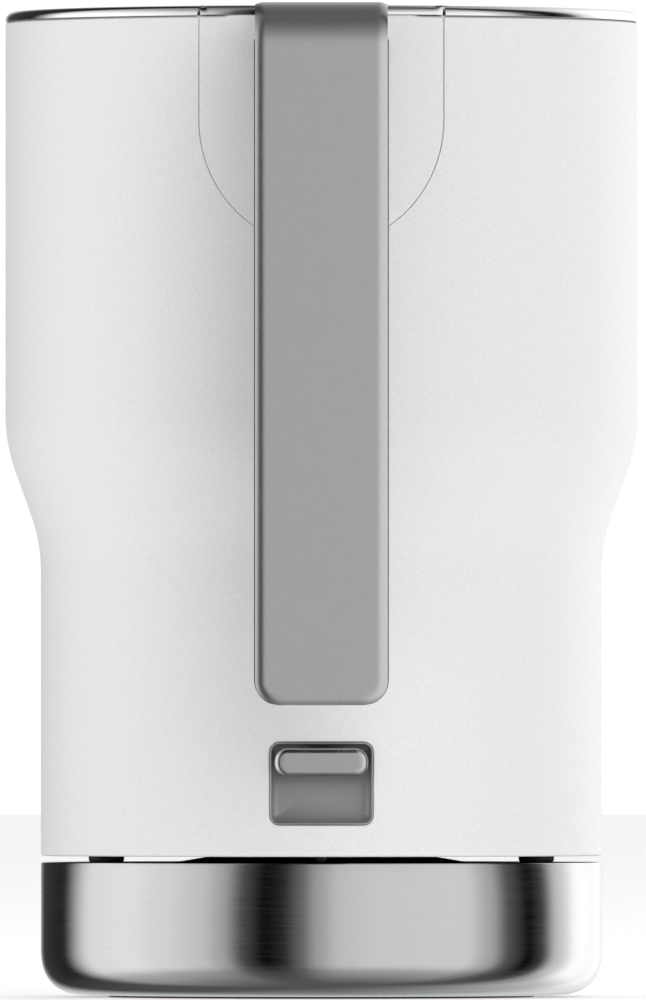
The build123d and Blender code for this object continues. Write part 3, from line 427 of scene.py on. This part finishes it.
def rim_surface():
    """Bright rim: closed sections stand round the axis from hinge to hinge. Each runs from the inner edge
    (collar, or the mouth's edge) over the flat top and round the outer edge; the collar is its own ring."""
    begin = math.asin(HINGE_GAP / HINGE_R)
    share = spread(420, [(0.5, 0.05, 3.0)])
    angle = (begin + (2 * math.pi - 2 * begin) * share)[None]
    signed = np.where(angle > math.pi, angle - 2 * math.pi, angle)
    outer = rim_outer_radius(signed)
    inner = mouth_radius(math.pi - np.abs(signed))
    inner = np.where(math.pi - np.abs(signed) < 0.5, inner, MOUTH_BACK_R)
    inner = np.minimum(inner, outer - 0.2)
    turn = np.linspace(0, math.pi / 2, 9)
    round_in = (1 - np.sin(turn)) * RIM_ROUND
    round_up = (1 - np.cos(turn)) * RIM_ROUND
    edge = np.minimum(1.0, (outer - inner) / (RIM_ROUND + 0.5))
    rows = [(inner, SHELL_TOP), (inner, RIM_TOP - 0.15), (inner + 0.15 * edge, RIM_TOP)]
    rows += [(outer - (RIM_ROUND + 0.1) * edge, RIM_TOP)]
    rows += [(outer - a * edge, RIM_TOP - b) for a, b in zip(round_in, round_up)]
    rows += [(outer, SHELL_TOP + 0.1), (outer - 0.1 * edge, SHELL_TOP), (inner, SHELL_TOP)]
    points = closed_ends(np.concatenate([around_axis(r, angle, h) for r, h in rows]))
    collar = rounded_line([
        (COLLAR_R, COLLAR_LOW_Z),
        (COLLAR_R, RIM_TOP - 0.5, 0.7),
        (MOUTH_BACK_R - 0.03, RIM_TOP),
        (MOUTH_BACK_R - 0.03, SHELL_TOP),
        (COLLAR_R + COLLAR_WALL, SHELL_TOP),
        (COLLAR_R + COLLAR_WALL, COLLAR_LOW_Z),
        (COLLAR_R, COLLAR_LOW_Z),
    ])
    back = np.minimum(collar[:, 0, None], outer - 0.1)
    band = closed_ends(around_axis(back, angle, collar[:, 1, None]))
    return [(points, quads(*points.shape[:2])), (band, quads(*band.shape[:2]))]


def cap_surface():
    """Bright cap over the handle's root: columns run from its arched front edge, y = centre + sqrt(R^2 -
    x^2), to the jug's circle, with the outer edge rounded; the middle stops short of the hinge barrel."""
    side, middle = np.linspace(CAP_GAP_HALF, CAP_HALF, 40), np.linspace(-CAP_GAP_HALF, CAP_GAP_HALF, 50)
    x = np.concatenate([-side[::-1], middle, side])
    in_gap = np.repeat([False, True, False], [len(side), len(middle), len(side)])
    front = CAP_ARC_Y + np.sqrt(np.clip(CAP_ARC_R**2 - x**2, 0, None))
    front = np.where(in_gap, CAP_GAP_Y, front)
    back = -np.sqrt(JUG_TOP_R**2 - x**2)
    front = np.maximum(front, back + 0.3)
    turn = np.linspace(0, math.pi / 2, 9)
    room = np.minimum(1.0, (front - back) / (RIM_ROUND + 0.6))
    rows = [(front, SHELL_TOP + 0.1), (front, RIM_TOP - 0.2), (front - 0.2 * room, RIM_TOP)]
    for angle in turn:
        inset, drop = (1 - math.sin(angle)) * RIM_ROUND, (1 - math.cos(angle)) * RIM_ROUND
        rows.append((back + inset * room, RIM_TOP - drop))
    rows += [(back, SHELL_TOP + 0.2), (back + 0.1 * room, SHELL_TOP + 0.1), (front, SHELL_TOP + 0.1)]
    points = closed_ends(np.stack([np.stack([x, y, 0 * x + z], -1) for y, z in rows]))
    return [(points, quads(*points.shape[:2]))]


def lid_surface():
    """Lid top: a shallow round dish with a soft rim, turned from one closed profile."""
    return [turned(rounded_line([
        (0, LID_TOP_Z - 0.75),
        (46.0, LID_TOP_Z - 0.65, 30.0),
        (50.5, LID_TOP_Z, 4.0),
        (LID_R, LID_TOP_Z, 0.9),
        (LID_R, 243.0),
        (LID_R - 0.6, LID_LOW_Z),
        (LID_R - 1.3, LID_LOW_Z),
        (LID_R - 1.3, LID_TOP_Z - 2.3),
        (0, LID_TOP_Z - 2.3),
    ]))]


# ---- power base ---------------------------------------------------------------------
def base_surface():
    """Steel cup: straight wall, then a corner that follows |u|^p + |v|^p = 1, then a flat flange.
    In front the columns end on the flex notch's arch, z = w + sqrt(w^2 - x^2)."""
    turn = np.linspace(0, math.pi / 2, 40)
    u = np.cos(turn) ** (2 / BASE_POWER)
    v = np.sin(turn) ** (2 / BASE_POWER)
    r = np.concatenate([
        [JUG_LOW_R - 0.5, JUG_LOW_R - 0.15, JUG_LOW_R, JUG_LOW_R],
        JUG_LOW_R - BASE_CURVE * (1 - u),
        [BASE_FLANGE_R],
    ])
    z = np.concatenate([
        [BASE_RIM_Z, BASE_RIM_Z - 0.05, BASE_RIM_Z - 0.4, 20.0],
        BASE_UNDER_Z + BASE_CURVE * (1 - v),
        [BASE_UNDER_Z],
    ])
    notch = math.asin(FLEX_HALF / JUG_LOW_R)
    wide = np.linspace(notch, 2 * math.pi - notch, BASE_WIDE_COLUMNS)
    narrow = np.linspace(-notch, notch, BASE_NOTCH_COLUMNS)
    lean = np.concatenate([wide, narrow + 2 * math.pi])[None]
    in_notch = np.repeat([False, True], [BASE_WIDE_COLUMNS, BASE_NOTCH_COLUMNS])[None]
    x = JUG_LOW_R * np.sin(lean)
    arch = FLEX_HALF + np.sqrt(np.clip(FLEX_HALF**2 - x**2, 0, None))
    arch = np.where(in_notch, arch, -1.0)
    height = np.maximum(z[:, None] + 0 * lean, arch)
    down = np.interp(-height, -z, r)
    radius = np.where(z[:, None] >= arch, r[:, None] + 0 * lean, down)
    keep = np.ones((len(z) - 1, lean.shape[1]), bool)
    keep[:, BASE_WIDE_COLUMNS - 1] = False
    keep[:, -1] = False
    points = around_axis(radius, math.pi - lean, height)
    return [(points, quads(*points.shape[:2], around=True, keep=keep))]


# ---- handle -------------------------------------------------------------------------
def bent_path(root_y, back_y, top_z, radius, shares):
    """(y, z) along an L with a round corner; shares are places from 0 to 3: arm, bend, upright."""
    arm, bend, fall = np.clip(shares, 0, 1), np.clip(shares - 1, 0, 1), np.clip(shares - 2, 0, 1)
    centre_y, centre_z = back_y + radius, top_z - radius
    y = root_y + (centre_y - root_y) * arm - radius * np.sin(bend * math.pi / 2)
    z = top_z - radius * (1 - np.cos(bend * math.pi / 2)) - (centre_z - HANDLE_END_Z) * fall
    return y, z


def strap_surface(face, back, half, fillet, reach, corner, face_round, back_round):
    """A bent bar between a face path and a back path. Columns go once round its section: across the
    face, which falls away over the reach beside its outline by the fillet rule, down one wall, across
    the back and up the other wall. The corners at the lower end are arcs."""
    fall = spread(46, [(1, 0.05, 12)])
    shares = np.concatenate([np.linspace(0, 1, 8)[:-1], np.linspace(1, 2, 22)[:-1], 2 + fall])
    fy, fz = bent_path(*face, face_round, shares)
    by, bz = bent_path(*back, back_round, shares)
    left = np.where(shares > 2, fz - HANDLE_END_Z, np.inf)
    short = np.clip(corner - left, 0, corner)
    width = half - corner + np.sqrt(corner**2 - short**2)
    u = spread(41, [(0, 0.07, 5), (1, 0.07, 5)]) * 2 - 1
    x = width[:, None] * u[None]
    a = np.abs(x) - (half - corner)
    b = corner - left[:, None]
    inside = corner - np.hypot(np.clip(a, 0, None), np.clip(b, 0, None)) - np.clip(np.maximum(a, b), None, 0)
    drop = fillet_drop(np.clip(inside, 0, None), fillet, reach)
    depth = np.hypot(fy - by, fz - bz)[:, None]
    fallen = fillet_drop(0.0, fillet, reach)
    wall = fallen + (depth - fallen) * np.linspace(0, 1, 5)[None, 1:]
    edge = width[:, None]
    rear = x[:, -2:0:-1]
    x = np.concatenate([x, edge + 0 * wall, rear, -edge + 0 * wall], 1)
    drop = np.concatenate([drop, wall, depth + 0 * rear, wall[:, ::-1]], 1)
    x = np.concatenate([x[:1], x, x[-1:]])
    drop = np.concatenate([0 * drop[:1] + depth[0], drop, 0 * drop[-1:] + depth[-1]])
    fy, fz, by, bz = (np.concatenate([p[:1], p, p[-1:]])[:, None] for p in (fy, fz, by, bz))
    depth = np.hypot(fy - by, fz - bz)
    share = drop / depth
    points = np.stack([x, fy + (by - fy) * share, fz + (bz - fz) * share], -1)
    return [(points, quads(*points.shape[:2], around=True))]


# ---- pocket and switch bar ----------------------------------------------------------
def rounded_ring(half_u, half_v, radius, count=96):
    """Closed outline of a rounded rectangle, and its outward normals, by angle on each corner."""
    turn = np.linspace(0, math.pi / 2, count // 4)
    signs = [(1, 1, 0), (-1, 1, math.pi / 2), (-1, -1, math.pi), (1, -1, 3 * math.pi / 2)]
    line, out = [], []
    for su, sv, start in signs:
        normal = np.stack([np.cos(turn + start), np.sin(turn + start)], -1)
        line.append(np.array([su * (half_u - radius), sv * (half_v - radius)]) + radius * normal)
        out.append(normal)
    return np.concatenate(line), np.concatenate(out)


def pocket_back(z):
    """Depth of the pocket's back along Y at a height: shallow below, deeper above, one soft bend."""
    line = rounded_line([(36.0, -68.6), (45.9, -63.8, 25.0), (70.0, -60.0)], step=16)
    return np.interp(z, line[:, 0], line[:, 1])


def pocket_surface():
    """Pocket: an outline ring carried inwards through a rounded rim, a wall and a filleted back."""
    gap, lip, fillet = 0.1, 0.45, 2.0
    mid = (POCKET_LOW_Z + POCKET_HIGH_Z) / 2
    tall = (POCKET_HIGH_Z - POCKET_LOW_Z) / 2
    line, out = rounded_ring(POCKET_HALF - gap, tall - gap, POCKET_CORNER - gap)
    skin = -np.sqrt((JUG_LOW_R - 0.25) ** 2 - line[:, 0] ** 2)

    def ring(inset, y):
        place = line - out * inset
        return np.stack([place[:, 0], y + 0 * skin, place[:, 1] + mid], -1)

    rows = [ring(0, -50.0), ring(0, skin + 0.2), ring(0.04, skin + 0.05), ring(0.12, skin)]
    rows += [ring(lip - 0.15, skin), ring(lip - 0.04, skin + 0.04), ring(lip, skin + 0.15)]
    inner = line - out * lip
    for share in np.linspace(0, 1, 7):
        angle = share * math.pi / 2
        flat = inner - out * fillet * (1 - math.cos(angle))
        y = pocket_back(flat[:, 1] + mid) - fillet * (1 - math.sin(angle))
        rows.append(np.stack([flat[:, 0], y, flat[:, 1] + mid], -1))
    for scale in (0.85, 0.7, 0.55, 0.4, 0.25, 0.1, 0.0):
        place = flat * scale
        rows.append(np.stack([place[:, 0], pocket_back(place[:, 1] + mid), place[:, 1] + mid], -1))
    rows.append(np.stack([0 * skin, -50.0 + 0 * skin, mid + 0 * skin], -1))
    points = np.stack(rows[-2::-1] + rows[-1:])
    return [(points, quads(*points.shape[:2], around=True))]


def bar_surface():
    """Switch bar: a rounded outline carried forward and over a filleted edge onto a flat face."""
    mid = (BAR_LOW_Z + BAR_HIGH_Z) / 2
    line, out = rounded_ring(BAR_HALF, (BAR_HIGH_Z - BAR_LOW_Z) / 2, BAR_CORNER)
    rows = [(0 * line, BAR_BACK_Y), (line, BAR_BACK_Y)]
    for angle in np.linspace(0, math.pi / 2, 10):
        inset, rise = BAR_ROUND * (1 - math.cos(angle)), BAR_ROUND * (1 - math.sin(angle))
        rows.append((line - out * inset, BAR_FRONT_Y + rise))
    flat = rows[-1][0]
    for scale in (0.9, 0.7, 0.45, 0.2, 0.0):
        rows.append((flat * scale, BAR_FRONT_Y))
    points = np.stack([
        np.stack([place[:, 0], y + 0 * place[:, 0], place[:, 1] + mid], -1) for place, y in rows
    ])
    return [(points, quads(*points.shape[:2], around=True))]


# ---- finishes -----------------------------------------------------------------------
class Finish:
    """A Principled material with helpers for the few procedural patterns used here."""

    def __init__(self, name, colour, roughness, metallic=0.0, **sockets):
        self.material = bpy.data.materials.new(name)
        self.material.use_nodes = True
        self.tree = self.material.node_tree
        self.shader = self.tree.nodes["Principled BSDF"]
        self.put("Base Color", (*colour, 1))
        self.put("Roughness", roughness)
        self.put("Metallic", metallic)
        for socket, value in sockets.items():
            self.put(socket.replace("_", " "), value)
        self.colour, self.roughness = colour, roughness
        self.last_bump = None

    def put(self, socket, value):
        self.shader.inputs[socket].default_value = value

    def node(self, kind, **settings):
        made = self.tree.nodes.new(kind)
        for key, value in settings.items():
            if key in made.inputs:
                made.inputs[key].default_value = value
            else:
                setattr(made, key, value)
        return made

    def wire(self, start, end):
        self.tree.links.new(start, end)

    def noise(self, scale, stretch=(1, 1, 1), detail=3.0, roughness=0.55):
        """Noise over Object coordinates, stretched per axis."""
        where = self.node("ShaderNodeTexCoord")
        place = self.node("ShaderNodeMapping")
        place.inputs["Scale"].default_value = stretch
        made = self.node("ShaderNodeTexNoise", Scale=scale, Detail=detail, Roughness=roughness)
        self.wire(where.outputs["Object"], place.inputs["Vector"])
        self.wire(place.outputs["Vector"], made.inputs["Vector"])
        return made.outputs["Fac"]

    def between(self, value, low, high):
        """Carries a 0..1 pattern into a range."""
        span = self.node("ShaderNodeMapRange")
        span.inputs["From Min"].default_value = 0.3
        span.inputs["From Max"].default_value = 0.7
        span.inputs["To Min"].default_value = low
        span.inputs["To Max"].default_value = high
        self.wire(value, span.inputs["Value"])
        return span.outputs["Result"]

    def vary_roughness(self, value, amount):
        varied = self.between(value, self.roughness - amount, self.roughness + amount)
        self.wire(varied, self.shader.inputs["Roughness"])

    def vary_colour(self, value, amount):
        mix = self.node("ShaderNodeMix", data_type="RGBA")
        mix.inputs[6].default_value = (*[c * (1 - amount) for c in self.colour], 1)
        mix.inputs[7].default_value = (*[min(1.0, c * (1 + amount)) for c in self.colour], 1)
        self.wire(self.between(value, 0.0, 1.0), mix.inputs[0])
        self.wire(mix.outputs[2], self.shader.inputs["Base Color"])

    def bump(self, value, height):
        made = self.node("ShaderNodeBump", Strength=1.0, Distance=height * MM)
        self.wire(value, made.inputs["Height"])
        if self.last_bump:
            self.wire(self.last_bump, made.inputs["Normal"])
        self.last_bump = made.outputs["Normal"]
        self.wire(self.last_bump, self.shader.inputs["Normal"])


def grained_white():
    """White powder coat with a fine even grain and a very soft broad unevenness."""
    made = Finish("grained_white", (0.80, 0.80, 0.80), 0.48, Specular_IOR_Level=0.4)
    grain = made.noise(2000, detail=2.0)
    made.vary_colour(grain, 0.045)
    made.vary_roughness(made.noise(900), 0.05)
    made.bump(grain, 0.022)
    return made.material


def polished_chrome():
    """Mirror-bright plating with faint polishing haze."""
    made = Finish("polished_chrome", (0.60, 0.60, 0.605), 0.10, 1.0)
    made.vary_roughness(made.noise(300, detail=4.0), 0.03)
    made.bump(made.noise(70, detail=1.0), 0.004)
    return made.material


def base_steel():
    """Satin stainless with fine lines that run round the base."""
    made = Finish("base_steel", (0.40, 0.40, 0.40), 0.13, 1.0)
    lines = made.noise(90, stretch=(0.6, 0.6, 60), detail=4.0)
    made.vary_roughness(lines, 0.05)
    made.vary_colour(lines, 0.03)
    made.bump(lines, 0.004)
    return made.material


def satin_grey():
    """Grey satin-lacquered metal with a fine sparkling grain."""
    made = Finish("satin_grey", (0.42, 0.42, 0.42), 0.24, 0.88)
    grain = made.noise(2200, detail=2.0)
    made.vary_colour(grain, 0.03)
    made.vary_roughness(made.noise(1200), 0.03)
    made.bump(grain, 0.0035)
    return made.material


def satin_metal(name, colour, roughness, lines=(1, 1, 1)):
    """Drawn or satin metal, its lines along the short-stretched axis."""
    made = Finish(name, colour, roughness, 1.0)
    pattern = made.noise(220, stretch=lines, detail=4.0)
    made.vary_roughness(pattern, roughness * 0.25)
    made.vary_colour(pattern, 0.05)
    made.bump(pattern, 0.004)
    return made.material


def moulded(name, colour, roughness, grain=0.010, speck=0.06):
    """Moulded plastic or rubber with a fine spark-eroded texture."""
    made = Finish(name, colour, roughness)
    texture = made.noise(1800, detail=3.0)
    made.vary_colour(made.noise(160), speck)
    made.vary_roughness(texture, 0.08)
    made.bump(texture, grain)
    return made.material


def pocket_satin():
    """Soft satin grey of the pocket, rougher than the bar in it."""
    made = Finish("pocket_satin", (0.36, 0.36, 0.36), 0.46, 0.35)
    grain = made.noise(2200, detail=2.0)
    made.vary_colour(grain, 0.04)
    made.bump(grain, 0.008)
    return made.material


WHITE = grained_white()
CHROME = polished_chrome()
BASE_STEEL = base_steel()
SATIN = satin_grey()
SWITCH_METAL = satin_metal("switch_metal", (0.42, 0.42, 0.42), 0.24)
FINISHES = {
    "white_shell": WHITE,
    "bright_rim": CHROME,
    "base_steel": BASE_STEEL,
    "satin_grip": SATIN,
    "switch_metal": SWITCH_METAL,
    "vessel_steel": satin_metal("vessel_steel", (0.62, 0.62, 0.61), 0.24, (1, 1, 0.05)),
    "strip_steel": satin_metal("strip_steel", (0.50, 0.50, 0.50), 0.30, (0.1, 1, 1)),
    "black_plastic": moulded("black_plastic", (0.020, 0.020, 0.022), 0.42),
    "grey_plastic": moulded("grey_plastic", (0.17, 0.17, 0.18), 0.45),
    "clear_plastic": moulded("milky_plastic", (0.62, 0.62, 0.60), 0.35, grain=0.004),
    "rubber_black": moulded("black_rubber", (0.022, 0.022, 0.022), 0.62, grain=0.02),
    "silicone": moulded("silicone", (0.52, 0.52, 0.50), 0.50, grain=0.008),
    "brass_contact": satin_metal("brass_contact", (0.72, 0.52, 0.24), 0.24),
    "aluminium_plate": satin_metal("cast_aluminium", (0.62, 0.62, 0.63), 0.42),
    "ceramic_white": moulded("terminal_resin", (0.72, 0.70, 0.65), 0.45),
    "bimetal": satin_metal("bimetal", (0.60, 0.46, 0.32), 0.34),
    "lead_sleeve": moulded("lead_sleeve", (0.30, 0.10, 0.05), 0.45),
}

for part in frame["record"]["subparts"]:
    mesh = nodes[part["node"]].data
    mesh.materials.clear()
    mesh.materials.append(FINISHES[part["material_slot"]])

# ---- pieces -------------------------------------------------------------------------
piece("shell", shell_surface(), "jug", WHITE, ["outer_shell"], SHELL_WALL, outward=False)
panel = panel_surface()
piece("rear_panel", panel, "jug", WHITE, ["handle_panel"], SHELL_WALL, outward=False)
piece("rim", rim_surface(), "jug", CHROME, ["top_ring"])
piece("root_cap", cap_surface(), "jug", CHROME, ["handle_cap"])
piece("lid_top", lid_surface(), "lid", CHROME, ["lid_cap"])
cup = base_surface()
piece("base_cup", cup, "power_base", BASE_STEEL, ["base_shell"], BASE_WALL, outward=False)
strap = strap_surface(
    (STRAP_ROOT_Y, HANDLE_BACK_Y, HANDLE_TOP_Z),
    (STRAP_ROOT_Y, HANDLE_BACK_Y + STRAP_DEPTH, HANDLE_TOP_Z - STRAP_DEPTH),
    half=HANDLE_HALF - STRAP_INSET, fillet=5.0, reach=2.35, corner=6.0, face_round=12.0, back_round=3.0,
)
piece("handle_strap", strap, "jug", SATIN, ["handle_outer"])
grip = strap_surface(
    (GRIP_ROOT_Y, HANDLE_BACK_Y + GRIP_OFFSET, HANDLE_TOP_Z - GRIP_OFFSET),
    (GRIP_ROOT_Y, HANDLE_BACK_Y + STRAP_DEPTH + GRIP_GAP, HANDLE_TOP_Z - STRAP_DEPTH - GRIP_GAP),
    half=HANDLE_HALF, fillet=2.6, reach=2.6, corner=6.0, face_round=9.0, back_round=3.9,
)
piece("handle_grip", grip, "jug", FINISHES["black_plastic"], ["handle_inner"])
piece("pocket_liner", pocket_surface(), "jug", pocket_satin(), ["switch_pocket"])
piece("switch_bar", bar_surface(), "switch", SWITCH_METAL, ["switch_paddle"])

# ---- studio -------------------------------------------------------------------------
FRAME_HEIGHT = 0.2488
LENS = 1100.0
SENSOR = 36.0
EYE_X = 0.0004
EYE_Z = 0.07
AIM_Z = 0.1236
CAMERA_RANGE = 60.0
FLOOR_HALF = 14.0
STUDIO_STRENGTH = 4.6
PLAIN_STRENGTH = 1.05

# Dome: (compass angle, brightness) of its walls, with 0 behind the viewer and right positive.
WALLS = [
    (-178, 0.50), (-161, 0.04), (-133, 0.02), (-109, 1.12), (-88, 1.20), (-69, 1.05), (-51, 0.86),
    (-43, 0.62), (-32, 0.08), (-24, 0.0), (-16, 0.02), (-9, 0.16), (-1, 0.55), (8, 0.84), (24, 0.93),
    (62, 0.97), (73, 0.62), (84, 0.10), (95, 0.0), (103, 0.05), (115, 0.85), (131, 1.47), (155, 1.15),
    (172, 0.75), (178, 0.50),
]
# Share of that brightness by height, and the ground's own: 0 is straight down, 1 straight up.
HEIGHTS = [
    (0.0, 0.0), (0.10, 0.28), (0.20, 0.50), (0.29, 0.93), (0.33, 1.0),
    (0.65, 1.0), (0.75, 0.80), (0.90, 0.36), (0.975, 0.16), (1.0, 0.14),
]
GROUND = [(0.0, 0.044), (0.10, 0.036), (0.20, 0.021), (0.33, 0.0)]


def disk_light(name, size, energy, place, turn=(0.0, 0.0, 0.0)):
    """A round area light that mirrors don't show."""
    lamp = bpy.data.lights.new(name, "AREA")
    lamp.shape = "DISK"
    lamp.size = size
    lamp.energy = energy
    made = link(name, lamp)
    made.location = place
    made.rotation_euler = [math.radians(angle) for angle in turn]
    made.visible_glossy = False


def grey_ramp(tree, source, stops, interpolation="LINEAR"):
    """A colour ramp of (place, value) greys, wired to a source socket; its Color socket."""
    made = tree.nodes.new("ShaderNodeValToRGB")
    ramp = made.color_ramp
    ramp.interpolation = interpolation
    while len(ramp.elements) > 1:
        ramp.elements.remove(ramp.elements[-1])
    for i, (place, value) in enumerate(stops):
        stop = ramp.elements[0] if i == 0 else ramp.elements.new(place)
        stop.position = place
        stop.color = (value, value, value, 1)
    tree.links.new(source, made.inputs["Fac"])
    return made.outputs["Color"]


def colour_mix(tree, blend, first, second):
    """The full blend of two colour sockets."""
    made = tree.nodes.new("ShaderNodeMix")
    made.data_type = "RGBA"
    made.blend_type = blend
    made.inputs[0].default_value = 1.0
    tree.links.new(first, made.inputs[6])
    tree.links.new(second, made.inputs[7])
    return made.outputs[2]


def world_light():
    """Studio dome: a ramp by compass direction gives bright and dark walls, one by height dims
    the ceiling and the ground, and the camera itself sees plain white."""
    world = bpy.data.worlds.new("studio")
    bpy.context.scene.world = world
    world.use_nodes = True
    tree = world.node_tree
    tree.nodes.clear()
    new, wire = tree.nodes.new, tree.links.new
    where, split = new("ShaderNodeTexCoord"), new("ShaderNodeSeparateXYZ")
    wire(where.outputs["Generated"], split.inputs[0])
    back = new("ShaderNodeMath")
    back.operation = "MULTIPLY"
    back.inputs[1].default_value = -1.0
    wire(split.outputs["Y"], back.inputs[0])
    turn = new("ShaderNodeMath")
    turn.operation = "ARCTAN2"
    wire(split.outputs["X"], turn.inputs[0])
    wire(back.outputs[0], turn.inputs[1])
    share = new("ShaderNodeMapRange")
    share.inputs["From Min"].default_value = -math.pi
    share.inputs["From Max"].default_value = math.pi
    wire(turn.outputs[0], share.inputs["Value"])
    level = new("ShaderNodeMapRange")
    level.inputs["From Min"].default_value = -1.0
    wire(split.outputs["Z"], level.inputs["Value"])
    around = [((degrees + 180) / 360, value / 3) for degrees, value in WALLS]
    walls = grey_ramp(tree, share.outputs["Result"], around, "EASE")
    rise = grey_ramp(tree, level.outputs["Result"], HEIGHTS)
    ground = grey_ramp(tree, level.outputs["Result"], GROUND)
    total = colour_mix(tree, "ADD", colour_mix(tree, "MULTIPLY", walls, rise), ground)
    light = new("ShaderNodeBackground")
    light.inputs["Strength"].default_value = STUDIO_STRENGTH
    wire(total, light.inputs["Color"])
    plain = new("ShaderNodeBackground")
    plain.inputs["Color"].default_value = (1, 1, 1, 1)
    plain.inputs["Strength"].default_value = PLAIN_STRENGTH
    ray, mix, out = new("ShaderNodeLightPath"), new("ShaderNodeMixShader"), new("ShaderNodeOutputWorld")
    wire(ray.outputs["Is Camera Ray"], mix.inputs[0])
    wire(light.outputs[0], mix.inputs[1])
    wire(plain.outputs[0], mix.inputs[2])
    wire(mix.outputs[0], out.inputs["Surface"])


floor_mesh = bpy.data.meshes.new("floor")
floor_corners = [(x * FLOOR_HALF, y * FLOOR_HALF, 0) for x, y in ((-1, -1), (1, -1), (1, 1), (-1, 1))]
floor_mesh.from_pydata(floor_corners, [], [(0, 1, 2, 3)])
floor_paint = Finish("pale_floor", (0.88, 0.88, 0.88), 0.8)
floor_paint.put("Emission Color", (1, 1, 1, 1))
floor_paint.put("Emission Strength", 0.40)
floor_mesh.materials.append(floor_paint.material)
floor = link("floor", floor_mesh)
floor.visible_glossy = False

disk_light("overhead", 5.0, 26.0, (0.6, 0.3, 4.0))
disk_light("front_fill", 2.5, 22.0, (1.0, -3.6, 1.6), turn=(68.0, 0.0, 15.5))
world_light()

lens = bpy.data.cameras.new("camera")
lens.lens = LENS
lens.sensor_width = SENSOR
lens.clip_end = CAMERA_RANGE
distance = FRAME_HEIGHT * LENS / SENSOR
camera = link("camera", lens)
camera.location = (EYE_X, -distance, EYE_Z)
camera.rotation_euler = (math.pi / 2 + math.atan2(AIM_Z - EYE_Z, distance), 0, 0)
bpy.context.scene.camera = camera

bpy.context.scene.view_settings.view_transform = "Standard"
bpy.context.scene.view_settings.look = "None"
